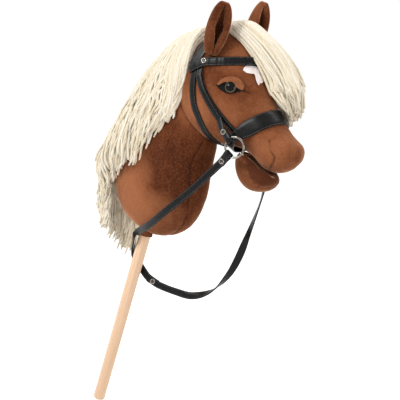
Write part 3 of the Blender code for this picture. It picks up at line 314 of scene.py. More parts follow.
def surface_tree(*nodes):
    """A search tree over the solids' surfaces."""
    vertices = []
    faces = []
    for node in nodes:
        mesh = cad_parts[node].data
        start = len(vertices)
        vertices += [v.co.copy() for v in mesh.vertices]
        faces += [tuple(start + i for i in face.vertices) for face in mesh.polygons]
    return BVHTree.FromPolygons(vertices, faces)


def smooth_path(points, step):
    """A smooth curve through points, as places a step apart."""
    points = [Vector(p) for p in points]
    ends = [points[0] * 2 - points[1]] + points + [points[-1] * 2 - points[-2]]
    parts = 12
    fine = []
    for i in range(1, len(ends) - 2):
        before, start, stop, after = ends[i - 1 : i + 3]
        for k in range(parts):
            t = k / parts
            linear = (stop - before) * t
            square = (2 * before - 5 * start + 4 * stop - after) * t**2
            cube = (3 * start - before - 3 * stop + after) * t**3
            fine.append(0.5 * (2 * start + linear + square + cube))
    fine.append(points[-1])
    lengths = [0.0]
    for first, second in zip(fine, fine[1:]):
        lengths.append(lengths[-1] + (Vector(second[:3]) - Vector(first[:3])).length)
    count = max(int(round(lengths[-1] / step)), 2) + 1
    result = []
    segment = 0
    for k in range(count):
        wanted = lengths[-1] * k / (count - 1)
        while segment < len(fine) - 2 and lengths[segment + 1] < wanted:
            segment += 1
        span = max(lengths[segment + 1] - lengths[segment], 1e-9)
        share = min(max((wanted - lengths[segment]) / span, 0.0), 1.0)
        result.append(fine[segment].lerp(fine[segment + 1], share))
    return result


def path_length(points):
    """Length along points that may hold more numbers after x, y and z."""
    return sum((Vector(b[:3]) - Vector(a[:3])).length for a, b in zip(points, points[1:]))


def way_at(points, i, closed=False):
    """From the point before one to the point after it."""
    if closed:
        return points[(i + 1) % len(points)] - points[i - 1]
    return points[min(i + 1, len(points) - 1)] - points[max(i - 1, 0)]


def mirrored(points):
    return [(x, -y, z) for x, y, z in points]


def frame_on(ahead, facing):
    """Ahead, across and facing at right angles, for a piece that runs ahead and faces that way."""
    ahead = ahead.normalized()
    across = ahead.cross(facing).normalized()
    return ahead, across, across.cross(ahead)


def circle(steps):
    """Cosine and sine at even steps round a circle."""
    angles = [2 * math.pi * k / steps for k in range(steps)]
    return [(math.cos(angle), math.sin(angle)) for angle in angles]


def arc(steps):
    """Sine and cosine at even steps over a quarter turn, without its start."""
    angles = [math.pi / 2 * k / steps for k in range(1, steps + 1)]
    return [(math.sin(angle), math.cos(angle)) for angle in angles]


def tube_faces(start, rings, sides):
    """Quads from ring to ring of a tube's corners, and its two end faces."""
    faces = []
    for ring in range(rings - 1):
        a = start + ring * sides
        for k in range(sides):
            after = (k + 1) % sides
            faces.append((a + k, a + after, a + sides + after, a + sides + k))
    last = start + (rings - 1) * sides
    faces.append(tuple(start + k for k in reversed(range(sides))))
    faces.append(tuple(last + k for k in range(sides)))
    return faces


def turned_piece(name, profile, steps, place, direction):
    """A turned shape from (radius, height) points, its axis through a place along a direction."""
    spin = direction.normalized().to_track_quat("Z", "Y").to_matrix()
    vertices = []
    rows = []
    for radius, height in profile:
        around = circle(steps) if radius > 1e-7 else [(0.0, 0.0)]
        rows.append(list(range(len(vertices), len(vertices) + len(around))))
        vertices += [place + spin @ Vector((radius * c, radius * s, height)) for c, s in around]
    faces = []
    for low, high in zip(rows, rows[1:]):
        for k in range(steps):
            after = (k + 1) % steps
            if len(low) == 1 and len(high) > 1:
                faces.append((low[0], high[after], high[k]))
            elif len(high) == 1 and len(low) > 1:
                faces.append((low[k], low[after], high[0]))
            elif len(low) > 1 and len(high) > 1:
                faces.append((low[k], low[after], high[after], high[k]))
    piece = new_piece(name, vertices, faces)
    face_out(piece.data)
    piece.data.set_sharp_from_angle(angle=math.radians(50))
    return piece


def stitches(name, places, material, slot, radius, length):
    """Short thread ends: each place is a point, the way that the thread runs and the way it faces."""
    vertices = []
    faces = []
    sides = 6
    shares = ((-0.5, 0.35), (-0.32, 0.9), (0.0, 1.0), (0.32, 0.9), (0.5, 0.35))
    for point, ahead, facing in places:
        ahead, across, up = frame_on(ahead, facing)
        faces += tube_faces(len(vertices), len(shares), sides)
        for along, thick in shares:
            lift = radius * (0.55 - 1.6 * along * along)
            for c, s in circle(sides):
                ring = across * c + up * s
                vertices.append(point + ahead * along * length + up * lift + ring * radius * thick)
    piece = new_piece(name, vertices, faces)
    face_out(piece.data)
    return settle(piece, material, slot)


# ---------------------------------------------------------------- Shader groups and materials


class Nodes:
    """A node tree with short calls for the nodes that the finishes use."""

    def __init__(self, tree):
        self.tree = tree

    def add(self, kind, **values):
        node = self.tree.nodes.new(kind)
        for name, value in values.items():
            setattr(node, name, value)
        return node

    def feed(self, source, target):
        if isinstance(source, (int, float, tuple)):
            target.default_value = source
        else:
            self.tree.links.new(source, target)

    def give(self, node, values):
        """Feed inputs of a node, by name or number, and hand the node on."""
        for name, value in values.items():
            self.feed(value, node.inputs[name])
        return node

    def math(self, operation, first, second=0.0):
        return self.give(self.add("ShaderNodeMath", operation=operation), {0: first, 1: second}).outputs[0]

    def times(self, first, second):
        return self.math("MULTIPLY", first, second)

    def plus(self, first, second):
        return self.math("ADD", first, second)

    def mix(self, share, first, second, blend="MIX"):
        node = self.add("ShaderNodeMix", data_type="RGBA", blend_type=blend)
        return self.give(node, {0: share, 6: first, 7: second}).outputs[2]

    def noise(self, place, scale, detail=2.0, roughness=0.5):
        values = {"Vector": place, "Scale": scale, "Detail": detail, "Roughness": roughness}
        return self.give(self.add("ShaderNodeTexNoise"), values).outputs["Fac"]

    def drawn(self, place, scales, detail=2.0, roughness=0.5):
        """Noise that is drawn out: its scale is given for each axis."""
        return self.noise(self.scaled(place, scales), 1.0, detail, roughness)

    def span(self, value, low, high, to_low=0.0, to_high=1.0):
        values = {"Value": value, "From Min": low, "From Max": high, "To Min": to_low, "To Max": to_high}
        return self.give(self.add("ShaderNodeMapRange"), values).outputs["Result"]

    def scaled(self, place, factors):
        return self.give(self.add("ShaderNodeMapping"), {"Vector": place, "Scale": factors}).outputs["Vector"]

    def place(self):
        return self.add("ShaderNodeTexCoord").outputs["Object"]

    def kept(self, name):
        """A number that is kept for each vertex."""
        return self.add("ShaderNodeAttribute", attribute_name=name).outputs["Fac"]


def shader_group(name, inputs, outputs, fill):
    """A shader node group, made once: `fill` gets its nodes and inputs, and gives what it puts out."""
    group = bpy.data.node_groups.get(name)
    if group:
        return group
    group = bpy.data.node_groups.new(name, "ShaderNodeTree")
    for label, kind, value in inputs:
        socket = group.interface.new_socket(label, in_out="INPUT", socket_type=kind)
        if value is not None:
            socket.default_value = value
    for label, kind in outputs:
        group.interface.new_socket(label, in_out="OUTPUT", socket_type=kind)
    nodes = Nodes(group)
    nodes.give(nodes.add("NodeGroupOutput"), fill(nodes, nodes.add("NodeGroupInput").outputs))
    return group


VECTOR = "NodeSocketVector"
COLOR = "NodeSocketColor"
FLOAT = "NodeSocketFloat"
SURFACE_OUTPUTS = [("Color", COLOR), ("Height", FLOAT), ("Roughness", FLOAT)]


def pile_group():
    """Velvet: clouds of pile lying different ways, fine pile, painted light and shade in given spots, and
    painted shade along the seams.
    """

    def fill(nodes, given):
        place = given["Place"]
        clouds = nodes.noise(place, 26.0, 4.0, 0.62)
        streaks = nodes.drawn(place, (90.0, 90.0, 34.0), 3.0, 0.6)
        mottle = nodes.plus(nodes.times(clouds, 0.62), nodes.times(streaks, 0.38))
        # Painted light and shade of given spots shifts this mix, and the light colour's share below
        share = nodes.span(nodes.plus(mottle, nodes.times(given["Painted Light And Shade"], 0.17)), 0.24, 0.76)
        base = nodes.mix(share, given["Shade"], given["Color"])
        random_and_painted_bloom = nodes.plus(nodes.noise(place, 15.0, 3.0, 0.55), nodes.times(given["Painted Light And Shade"], 0.16))
        bloom = nodes.span(random_and_painted_bloom, 0.44, 0.86)
        base = nodes.mix(nodes.times(bloom, given["Bloom Share"]), base, given["Bloom"])
        rubbed = nodes.noise(place, 300.0, 3.0, 0.75)
        base = nodes.mix(nodes.span(rubbed, 0.30, 0.60, 0.16, 0.0), base, given["Shade"])
        base = nodes.mix(nodes.span(rubbed, 0.45, 0.75, 0.0, 0.20), base, given["Bloom"])
        # Painted shade along the seams
        base = nodes.mix(nodes.times(given["Seam"], 0.62), base, given["Shade"], "MULTIPLY")
        fleck = nodes.noise(place, 1500.0, 2.0, 0.7)
        return {
            "Color": base,
            "Height": nodes.plus(nodes.times(fleck, 0.6), nodes.times(streaks, 0.9)),
            "Roughness": nodes.span(mottle, 0.3, 0.7, 0.95, 0.78),
        }

    inputs = [("Place", VECTOR, None), ("Color", COLOR, None), ("Shade", COLOR, None), ("Bloom", COLOR, None)]
    inputs += [("Bloom Share", FLOAT, 0.55), ("Seam", FLOAT, 0.0), ("Painted Light And Shade", FLOAT, 0.0)]
    return shader_group("Velvet Pile", inputs, SURFACE_OUTPUTS, fill)


def grain_group():
    """Pebbled leather: cells of grain, and broad wear."""

    def fill(nodes, given):
        place = given["Place"]
        cells = nodes.add("ShaderNodeTexVoronoi", feature="DISTANCE_TO_EDGE")
        nodes.give(cells, {"Vector": place, "Scale": 900.0})
        pebble = nodes.span(cells.outputs["Distance"], 0.0, 0.35)
        broad = nodes.noise(place, 60.0, 4.0, 0.6)
        fine = nodes.noise(place, 700.0, 2.0, 0.6)
        worn = nodes.times(nodes.span(broad, 0.45, 0.75), given["Wear"])
        return {
            "Color": nodes.mix(worn, given["Color"], given["Worn"]),
            "Height": nodes.plus(nodes.times(pebble, 0.35), nodes.times(fine, 0.4)),
            "Roughness": nodes.span(broad, 0.3, 0.7, 0.20, 0.38),
        }

    inputs = [("Place", VECTOR, None), ("Color", COLOR, None), ("Worn", COLOR, None), ("Wear", FLOAT, 0.5)]
    return shader_group("Leather Grain", inputs, SURFACE_OUTPUTS, fill)


def once(make):
    """Make a material at the first call with its name, and find it after that."""

    def found(name, *given):
        return bpy.data.materials.get(name) or make(name, *given)

    return found


def finish(name, color, roughness, metallic=0.0):
    """A material, the nodes to go on with, and its Principled shader."""
    material = bpy.data.materials.new(name)
    material.use_nodes = True
    nodes = Nodes(material.node_tree)
    shader = material.node_tree.nodes["Principled BSDF"]
    nodes.give(shader, {"Base Color": (*color, 1.0), "Roughness": roughness, "Metallic": metallic})
    return material, nodes, shader


def grouped(nodes, shader, tree, values):
    """Finish a shader's colour and roughness with a group, and hand the group's node on."""
    group = nodes.add("ShaderNodeGroup", node_tree=tree)
    nodes.give(group, {"Place": nodes.place(), **values})
    nodes.give(shader, {"Base Color": group.outputs["Color"], "Roughness": group.outputs["Roughness"]})
    return group


def bumped(nodes, shader, height, strength, distance):
    """Raise the surface by a height, at most a distance in metres."""
    bump = nodes.add("ShaderNodeBump")
    nodes.give(bump, {"Strength": strength, "Distance": distance, "Height": height})
    nodes.give(shader, {"Normal": bump.outputs["Normal"]})


def toned(tint, red, green, blue):
    """A tint with each of its channels multiplied."""
    return (tint[0] * red, tint[1] * green, tint[2] * blue, 1.0)


@once
def velvet_material(name, color, shade, bloom, bloom_share=0.55, inside=None):
    """Short-pile velvet. `inside` is the colour where the kept number `inside` is 1: the mouth's lining, and
    painted shade in the ears.
    """
    material, nodes, shader = finish(name, color, 0.88)
    values = {"Color": (*color, 1.0), "Shade": (*shade, 1.0), "Bloom": (*bloom, 1.0)}
    values.update({"Bloom Share": bloom_share, "Seam": nodes.kept("seam"), "Painted Light And Shade": nodes.kept("painted_light_and_shade")})
    group = grouped(nodes, shader, pile_group(), values)
    if inside:
        base = nodes.mix(nodes.kept("inside"), group.outputs["Color"], (*inside, 1.0))
        nodes.give(shader, {"Base Color": base})
    nodes.give(shader, {
        "Specular IOR Level": 0.04,
        "Sheen Weight": 1.0,
        "Sheen Roughness": 0.34,
        "Sheen Tint": (0.94, 0.52, 0.32, 1.0),
    })
    bumped(nodes, shader, group.outputs["Height"], 0.55, 0.0009)
    return material


def body_velvet():
    tint = colors()
    shades = (tint.velvet, tint.velvet_shade, tint.velvet_light)
    return velvet_material("Brown velvet", *shades, 0.55, tint.mouth)


def lid_velvet():
    tint = colors()
    return velvet_material("Eyelid velvet", tint.lid, tint.velvet, tint.velvet_light, 0.3)


@once
def leather_material(name):
    tint = colors().leather
    material, nodes, shader = finish(name, tint, 0.35)
    values = {"Color": (*tint, 1.0), "Worn": (0.0095, 0.0088, 0.0085, 1.0), "Wear": 0.5}
    group = grouped(nodes, shader, grain_group(), values)
    nodes.give(shader, {"Specular IOR Level": 0.14, "Coat Weight": 0.03, "Coat Roughness": 0.20})
    bumped(nodes, shader, group.outputs["Height"], 0.5, 0.00018)
    return material


@once
def thread_material(name, color):
    material, nodes, shader = finish(name, color, 0.7)
    bumped(nodes, shader, nodes.noise(nodes.place(), 2600.0, 1.0), 0.4, 0.0002)
    return material


@once
def yarn_material(name):
    """Two-ply wool: slanting plies with painted shade in the grooves between them, loose fibres, and each
    strand a little lighter or darker.
    """
    tint = colors().yarn
    material, nodes, shader = finish(name, tint, 0.9)
    along = nodes.add("ShaderNodeUVMap", uv_map="yarn")
    split = nodes.give(nodes.add("ShaderNodeSeparateXYZ"), {"Vector": along.outputs["UV"]}).outputs
    turn = nodes.plus(nodes.times(split["X"], 2.0), split["Y"])
    ply = nodes.span(nodes.math("SINE", nodes.times(turn, 2 * math.pi)), -1.0, 1.0)
    fibres = nodes.noise(nodes.place(), 1300.0, 3.0, 0.7)
    base = nodes.mix(nodes.kept("tint"), toned(tint, 0.90, 0.86, 0.78), (0.90, 0.84, 0.72, 1.0))
    # Painted shade in the grooves between the plies
    base = nodes.mix(nodes.span(ply, 0.0, 0.45, 0.16, 0.0), base, (0.62, 0.51, 0.35, 1.0))
    base = nodes.mix(nodes.span(fibres, 0.35, 0.65, 0.08, 0.0), base, (0.72, 0.62, 0.45, 1.0))
    nodes.give(shader, {
        "Base Color": base,
        "Specular IOR Level": 0.15,
        "Sheen Weight": 0.25,
        "Sheen Roughness": 0.5,
    })
    bumped(nodes, shader, nodes.plus(ply, nodes.times(fibres, 0.35)), 0.5, 0.0004)
    return material


@once
def bed_material(name):
    """The inner strands of the yarn, in painted shade: darker than the yarn's own colour."""
    tint = colors().yarn
    material, nodes, shader = finish(name, tint, 0.95)
    strands = nodes.drawn(nodes.place(), (420.0, 420.0, 60.0), 3.0, 0.6)
    # Painted shade: the inner strands are given darker copies of the yarn's colour
    dark = toned(tint, 0.76, 0.71, 0.60)
    base = nodes.mix(nodes.span(strands, 0.35, 0.65), dark, toned(tint, 0.95, 0.91, 0.84))
    nodes.give(shader, {"Base Color": base, "Specular IOR Level": 0.1})
    bumped(nodes, shader, strands, 0.8, 0.002)
    return material


@once
def metal_material(name):
    """Bright plating with faint handling marks and a painted reflection, darker facing the camera and lighter
    at grazing angles.
    """
    tint = colors().metal
    material, nodes, shader = finish(name, tint, 0.14, 1.0)
    smudge = nodes.noise(nodes.place(), 160.0, 4.0, 0.6)
    # Painted reflection: the plating's colour is darker where it faces the camera and lighter towards grazing
    # angles
    slant = nodes.give(nodes.add("ShaderNodeLayerWeight"), {"Blend": 0.35})
    facing = nodes.span(slant.outputs["Facing"], 0.1, 0.75)
    base = nodes.mix(facing, toned(tint, 0.45, 0.43, 0.40), toned(tint, 1.9, 1.9, 1.9))
    nodes.give(shader, {"Base Color": base, "Roughness": nodes.span(smudge, 0.4, 0.7, 0.06, 0.16)})
    bumped(nodes, shader, nodes.noise(nodes.place(), 900.0, 2.0), 0.08, 0.0001)
    return material


@once
def hollow_material(name):
    """The dulled inside of a rivet's hollow; its dark colour is painted shade for the depth of the hole."""
    material, nodes, shader = finish(name, (0.060, 0.052, 0.045), 0.45, 1.0)
    dulled = nodes.noise(nodes.place(), 1200.0, 2.0)
    nodes.give(shader, {"Roughness": nodes.span(dulled, 0.3, 0.7, 0.35, 0.6)})
    return material


@once
def beech_material(name):
    """Sanded beech: long soft grain, broad shades and short ray flecks."""
    tint = colors().beech
    material, nodes, shader = finish(name, tint, 0.5)
    place = nodes.place()
    grain = nodes.drawn(place, (230.0, 230.0, 5.5), 4.0, 0.6)
    flecks = nodes.drawn(place, (900.0, 900.0, 150.0), 1.0, 0.4)
    broad = nodes.drawn(place, (40.0, 40.0, 3.0), 2.0, 0.5)
    dark = toned(tint, 0.90, 0.82, 0.74)
    base = nodes.mix(nodes.span(grain, 0.42, 0.68), (*tint, 1.0), dark)
    base = nodes.mix(nodes.span(broad, 0.45, 0.7, 0.0, 0.35), base, dark)
    base = nodes.mix(nodes.span(flecks, 0.62, 0.75, 0.0, 0.45), base, (0.62, 0.39, 0.25, 1.0))
    rough = nodes.span(grain, 0.3, 0.7, 0.42, 0.58)
    nodes.give(shader, {"Base Color": base, "Roughness": rough, "Specular IOR Level": 0.35})
    bumped(nodes, shader, nodes.plus(grain, nodes.times(flecks, 0.5)), 0.25, 0.0002)
    return material


@once
def felt_material(name):
    tint = colors().felt
    material, nodes, shader = finish(name, tint, 0.95)
    fuzz = nodes.noise(nodes.place(), 1800.0, 3.0, 0.7)
    base = nodes.mix(nodes.span(fuzz, 0.4, 0.7), (*tint, 1.0), (0.020, 0.018, 0.016, 1.0))
    nodes.give(shader, {"Base Color": base, "Specular IOR Level": 0.1})
    bumped(nodes, shader, fuzz, 0.6, 0.0004)
    return material


@once
def satin_material(name):
    """Pale satin: fine weave across, soft lustre."""
    tint = colors().satin
    material, nodes, shader = finish(name, tint, 0.42)
    place = nodes.place()
    weave = nodes.drawn(place, (300.0, 2600.0, 300.0), 1.0)
    cloud = nodes.noise(place, 120.0, 2.0)
    base = nodes.mix(nodes.span(cloud, 0.4, 0.65), (*tint, 1.0), (0.93, 0.88, 0.88, 1.0))
    base = nodes.mix(nodes.span(weave, 0.4, 0.7, 0.0, 0.2), base, (0.74, 0.60, 0.58, 1.0))
    rough = nodes.span(weave, 0.3, 0.7, 0.34, 0.5)
    nodes.give(shader, {"Base Color": base, "Roughness": rough, "Sheen Weight": 0.2})
    bumped(nodes, shader, weave, 0.25, 0.0002)
    return material


@once
def eye_material(name, radius):
    """A dark pupil and a ring of colour under a clear coat."""
    tint = colors().iris
    material, nodes, shader = finish(name, (0.01, 0.006, 0.004), 0.06)
    reach = nodes.add("ShaderNodeVectorMath", operation="LENGTH")
    out = nodes.give(reach, {0: nodes.scaled(nodes.place(), (1.0, 1.0, 0.0))}).outputs["Value"]
    rays = nodes.drawn(nodes.place(), (900.0, 900.0, 0.0), 3.0, 0.7)
    lit = nodes.mix(nodes.span(rays, 0.35, 0.65), (*tint, 1.0), toned(tint, 1.9, 1.8, 1.6))
    base = nodes.mix(nodes.span(out, radius * 0.77, radius * 0.83), (0.004, 0.003, 0.003, 1.0), lit)
    base = nodes.mix(nodes.span(out, radius * 0.90, radius * 0.95), base, (0.02, 0.012, 0.008, 1.0))
    nodes.give(shader, {
        "Base Color": base,
        "Specular IOR Level": 0.0,
        "Coat Weight": 0.26,
        "Coat Roughness": 0.02,
    })
    return material


@once
def washer_material(name):
    material, nodes, shader = finish(name, (0.6, 0.6, 0.58), 0.5)
    cloud = nodes.noise(nodes.place(), 500.0, 2.0)
    base = nodes.mix(nodes.span(cloud, 0.4, 0.7), (0.60, 0.60, 0.58, 1.0), (0.52, 0.52, 0.50, 1.0))
    nodes.give(shader, {"Base Color": base})
    return material


# ---------------------------------------------------------------- Stuffed velvet

# Seams on the right side, as places on the cloth; the left side has the same
NOSTRIL_DART = (
    (0.2013, -0.0324, 0.5442), (0.2035, -0.0337, 0.5406), (0.2087, -0.0353, 0.5319),
    (0.2159, -0.0344, 0.5250), (0.2195, -0.0330, 0.5211), (0.2191, -0.0305, 0.5132),
    (0.2145, -0.0262, 0.5052), (0.2092, -0.0195, 0.4991), (0.2050, -0.0100, 0.4945),
)
EYE_DART = (
    (0.1269, -0.0350, 0.6035), (0.1338, -0.0333, 0.5992), (0.1385, -0.0307, 0.5990),
    (0.1450, -0.0270, 0.5980),
)
EYE_REAR_CREASE = ((0.0880, -0.0477, 0.5954), (0.0790, -0.0486, 0.5943), (0.0696, -0.0488, 0.5925))
NECK_FRONT_SEAM = (
    (0.0764, -0.0188, 0.4999), (0.0744, -0.0228, 0.4852), (0.0717, -0.0259, 0.4702),
    (0.0718, -0.0270, 0.4561), (0.0763, -0.0256, 0.4380), (0.0784, -0.0247, 0.4303),
    (0.0827, -0.0218, 0.4034), (0.0844, -0.0174, 0.3800), (0.0814, -0.0141, 0.3631),
    (0.0751, -0.0114, 0.3502), (0.0617, -0.0063, 0.3345), (0.0420, -0.0030, 0.3240),
)
JAW_SEAM = (
    (0.1500, -0.0230, 0.5060), (0.1641, -0.0270, 0.5000), (0.1765, -0.0284, 0.4906),
    (0.1879, -0.0298, 0.4791), (0.1975, -0.0258, 0.4722), (0.2071, -0.0138, 0.4706),
    (0.2120, -0.0010, 0.4725),
)


class Seam(NamedTuple):
    """A seam or dart: its places on the cloth, its depth and width, and how far it puckers."""

    points: tuple
    depth: float = 1.0
    width: float = 0.0016
    pucker: float = 1.0
    sewn: bool = True


# Distance between the places that a seam is followed at, how far from it the cloth is drawn, the width
# of the soft hollow along it, the length over which its ends fade, and that of one pucker
SEAM_STEP = 0.0008
SEAM_REACH = 0.018
SEAM_HOLLOW = 0.0065
SEAM_FADE = 0.004
PUCKER_PITCH = 0.0058


def both_sides(seams):
    """Seams of the right side, and the same on the left."""
    return seams + [seam._replace(points=mirrored(seam.points)) for seam in seams]


def sewn_cloth(piece, seams):
    """Draw the cloth in along its seams, with small puckers beside them, and keep where painted shade goes
    along them.
    """
    places = points_of(piece.data)
    moved = np.zeros(len(places))
    shade = np.zeros(len(places))
    depth = sizes().seam_depth
    for seam in seams:
        path = smooth_path(seam.points, SEAM_STEP)
        tree = KDTree(len(path))
        for i, point in enumerate(path):
            tree.insert(point, i)
        tree.balance()
        for i in within(places, np.min(path, axis=0), np.max(path, axis=0), 0.02):
            _, step, away = tree.find(Vector(places[i]))
            if away > SEAM_REACH:
                continue
            end = min(step, len(path) - 1 - step) * SEAM_STEP
            fade = min(1.0, end / SEAM_FADE + 0.25)
            groove = bell(away, seam.width)
            soft = bell(away, SEAM_HOLLOW)
            wave = 0.5 + 0.5 * math.sin(step * SEAM_STEP / PUCKER_PITCH * 2 * math.pi)
            moved[i] -= depth * fade * seam.depth * (groove + 0.22 * soft + 0.24 * seam.pucker * soft * wave)
            # Painted shade along the seam, strongest at its groove
            shade[i] = max(shade[i], fade * seam.depth * bell(away, seam.width * 0.75))
    pushed(piece, moved)
    store(piece.data, "seam", np.clip(shade, 0, 1))


def stuffed(piece, amount, scale, seed):
    """Uneven stuffing: slow hollows and fullness under the cloth."""
    shift = Vector((seed * 3.7, seed * 1.3, seed * 2.1))
    places = points_of(piece.data)
    moved = np.array([noise.fractal(Vector(p) * scale + shift, 0.7, 2.1, 3) for p in places])
    pushed(piece, moved * amount)


# Painted light (above 0) and painted shade on the pile of the head and neck: place, reach, amount
PAINTED_LIGHT_AND_SHADE_SPOTS = (
    ((0.043, -0.045, 0.440), 0.050, -1.10),
    ((0.072, -0.025, 0.440), 0.032, -0.9),
    ((0.030, -0.045, 0.480), 0.030, -0.9),
    ((-0.024, -0.040, 0.395), 0.032, 2.0),
    ((-0.010, -0.036, 0.350), 0.030, 1.8),
    ((0.014, -0.040, 0.352), 0.034, 1.8),
    ((0.080, -0.015, 0.385), 0.030, -0.8),
    ((0.055, -0.050, 0.550), 0.036, 2.8),
    ((0.120, -0.045, 0.555), 0.034, 1.9),
    ((0.205, -0.036, 0.525), 0.028, 1.9),
    ((0.225, -0.015, 0.540), 0.024, 0.9),
    ((0.105, -0.030, 0.640), 0.028, 1.5),
)


def paint_light_and_shade(piece):
    """Keep, at each place of the cloth, its painted light and shade from the spots; the left side is the
    same.
    """
    places = points_of(piece.data)
    places[:, 1] = -np.abs(places[:, 1])
    store(piece.data, "painted_light_and_shade", spots_at(places, PAINTED_LIGHT_AND_SHADE_SPOTS))


def folded_in(piece, reach):
    """How much of the view out of each place the piece itself closes, within a reach."""
    tree = BVHTree.FromObject(piece, bpy.context.evaluated_depsgraph_get())
    spread = [Vector((0, 0, 1))] + [Vector((c * 0.8, s * 0.8, 0.6)) for c, s in circle(6)]
    closed = []
    for vertex in piece.data.vertices:
        turn = vertex.normal.to_track_quat("Z", "Y")
        start = vertex.co + vertex.normal * 0.0006
        hits = [tree.ray_cast(start, turn @ way, reach)[0] is not None for way in spread]
        closed.append(sum(hits) / len(spread))
    return np.array(closed)


def softened(piece, times):
    """Even a piece out, and make the modified shape its own."""
    soften = piece.modifiers.new("soften", "SMOOTH")
    soften.factor = 0.6
    soften.iterations = times
    return applied(piece)


def cloth_form(node, name, voxel, smoothing=8):
    """The velvet over a stuffed form, in small even cells."""
    piece = welded(node, name)
    remesh = piece.modifiers.new("cells", "REMESH")
    remesh.mode = "VOXEL"
    remesh.voxel_size = voxel
    return softened(piece, smoothing)


def meet(piece, node, reach, push):
    """Press a piece's cloth up against a neighbour's solid, where it lies within a reach."""
    tree = surface_tree(node)
    places = points_of(piece.data)
    moved = np.zeros(len(places))
    low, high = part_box(node)
    for i in within(places, low, high, reach):
        away = tree.find_nearest(Vector(places[i]))[3]
        moved[i] = push * max(0.0, 1 - away / reach)
    pushed(piece, moved)


def seam_stitches(name, piece, seams):
    """Thread that shows across the sewn darts."""
    tree = BVHTree.FromObject(piece, bpy.context.evaluated_depsgraph_get())
    places = []
    for seam in seams:
        path = smooth_path(seam.points, 0.0042)
        for i in range(1, len(path) - 1):
            hit, facing, _, _ = tree.find_nearest(path[i])
            ahead, across, _ = frame_on(way_at(path, i), facing)
            places.append((hit + facing * 0.0001, (across + ahead * 0.35).normalized(), facing))
    material = thread_material("Seam thread", colors().seam_thread)
    stitches(name, places, material, "velvet", 0.00030, 0.0026)


class HORSE_OT_head(bpy.types.Operator):
    """Dress the head: cheeks, muzzle, nostril darts and the darts at the eyes"""

    bl_idname = "horse.head"
    bl_label = "Head"

    def execute(self, context):
        piece = cloth_form("head", "velvet_head", sizes().cloth_voxel, 10)
        stuffed(piece, 0.0011, 26.0, 1)
        for side in (RIGHT, LEFT):
            # The full nose beside the nostril, and the cheek behind it
            spots = (
                ((0.2270, side * 0.0240, 0.5400), 0.0130, 0.0030),
                ((0.2010, side * 0.0330, 0.5300), 0.0120, 0.0022),
            )
            pushed(piece, spots_at(points_of(piece.data), spots))
        seams = both_sides([
            Seam(NOSTRIL_DART, 1.1, 0.0014, 0.5),
            Seam(EYE_DART, 1.0, 0.0013),
            Seam(EYE_REAR_CREASE, 0.6, 0.0015, 0.3, sewn=False),
        ])
        sewn_cloth(piece, seams)
        places = points_of(piece.data)
        # The mouth's darker roof: what faces down, from the corner to near the nose, within the lips
        palate = (normals_of(piece.data) @ np.array(-HEAD_UPWARD)) > 0.55
        palate &= (places[:, 0] > 0.140) & (places[:, 0] < 0.222) & (np.abs(places[:, 1]) < 0.024)
        store(piece.data, "inside", palate * 0.75)
        # Painted light and shade on the head's pile
        paint_light_and_shade(piece)
        settle(piece, body_velvet(), "velvet", "head")
        seam_stitches("head_dart_stitches", piece, [seam for seam in seams if seam.sewn])
        return {"FINISHED"}


class HORSE_OT_neck(bpy.types.Operator):
    """Dress the neck and its rounded base, with the long dart at its front"""

    bl_idname = "horse.neck"
    bl_label = "Neck"

    def execute(self, context):
        piece = cloth_form("neck", "velvet_neck", sizes().cloth_voxel, 10)
        stuffed(piece, 0.0016, 18.0, 2)
        meet(piece, "head", 0.006, 0.0022)
        seams = both_sides([Seam(NECK_FRONT_SEAM, 1.0, 0.0015, 1.2)])
        sewn_cloth(piece, seams)
        # Painted light and shade on the neck's pile
        paint_light_and_shade(piece)
        settle(piece, body_velvet(), "velvet", "neck")
        seam_stitches("neck_dart_stitches", piece, seams)
        return {"FINISHED"}


class HORSE_OT_jaw(bpy.types.Operator):
    """Dress the open lower jaw, with the darker inside of the mouth sewn in"""

    bl_idname = "horse.jaw"
    bl_label = "Lower jaw"

    def execute(self, context):
        piece = cloth_form("lower_jaw", "velvet_jaw", sizes().cloth_voxel * 0.75, 8)
        forward = np.array((math.cos(JAW_PITCH), 0, -math.sin(JAW_PITCH)))
        upward = np.array((math.sin(JAW_PITCH), 0, math.cos(JAW_PITCH)))
        places = points_of(piece.data)
        height = (places - np.array(JAW_ROOT)) @ upward
        along = (places - np.array(JAW_ROOT)) @ forward
        # The lip stays: the hollow begins inside it, and ends before the jaw's front
        rim = 0.0215 - 0.5 * np.clip(along - 0.045, 0, 1)
        inward = np.clip((rim - np.abs(places[:, 1])) / 0.010, 0, 1) * np.clip((0.070 - along) / 0.012, 0, 1)
        top = np.clip((height - 0.008) / 0.006, 0, 1)
        places -= upward * (inward * top * JAW_HOLLOW)[:, None]
        low, high = places[:, 2].min(), places[:, 2].max()
        places[:, 2] -= JAW_DROP * ((high - places[:, 2]) / (high - low)) ** 1.5
        set_points(piece.data, places)
        seams = both_sides([Seam(JAW_SEAM, 1.1, 0.0014)])
        sewn_cloth(piece, seams)
        places = points_of(piece.data)
        seam_x, _, seam_z = zip(*JAW_SEAM)
        over = places[:, 2] - np.interp(places[:, 0], seam_x, seam_z)
        store(piece.data, "inside", np.clip(over / 0.0022, 0, 1) * 0.92)
        settle(piece, body_velvet(), "velvet", "lower_jaw")
        seam_stitches("jaw_seam_stitches", piece, seams)
        return {"FINISHED"}


# How far the stuffing swells an ear's inner walls, where they are half closed in
EAR_PUFF = 0.0068
EAR_WALL = 0.42
EAR_WALL_SPREAD = 0.24
EAR_FOLD_REACH = 0.030
# From how closed in a place of an ear is, painted shade begins on its cloth, and how much more until the
# painted shade is full
EAR_SHADE = 0.66
EAR_SHADE_SPREAD = 0.25
# How far the tips bend from the solids'
EAR_BENDS = {RIGHT: (-0.0020, -0.0010, -0.0045), LEFT: (0.0015, 0.0010, 0.0060)}


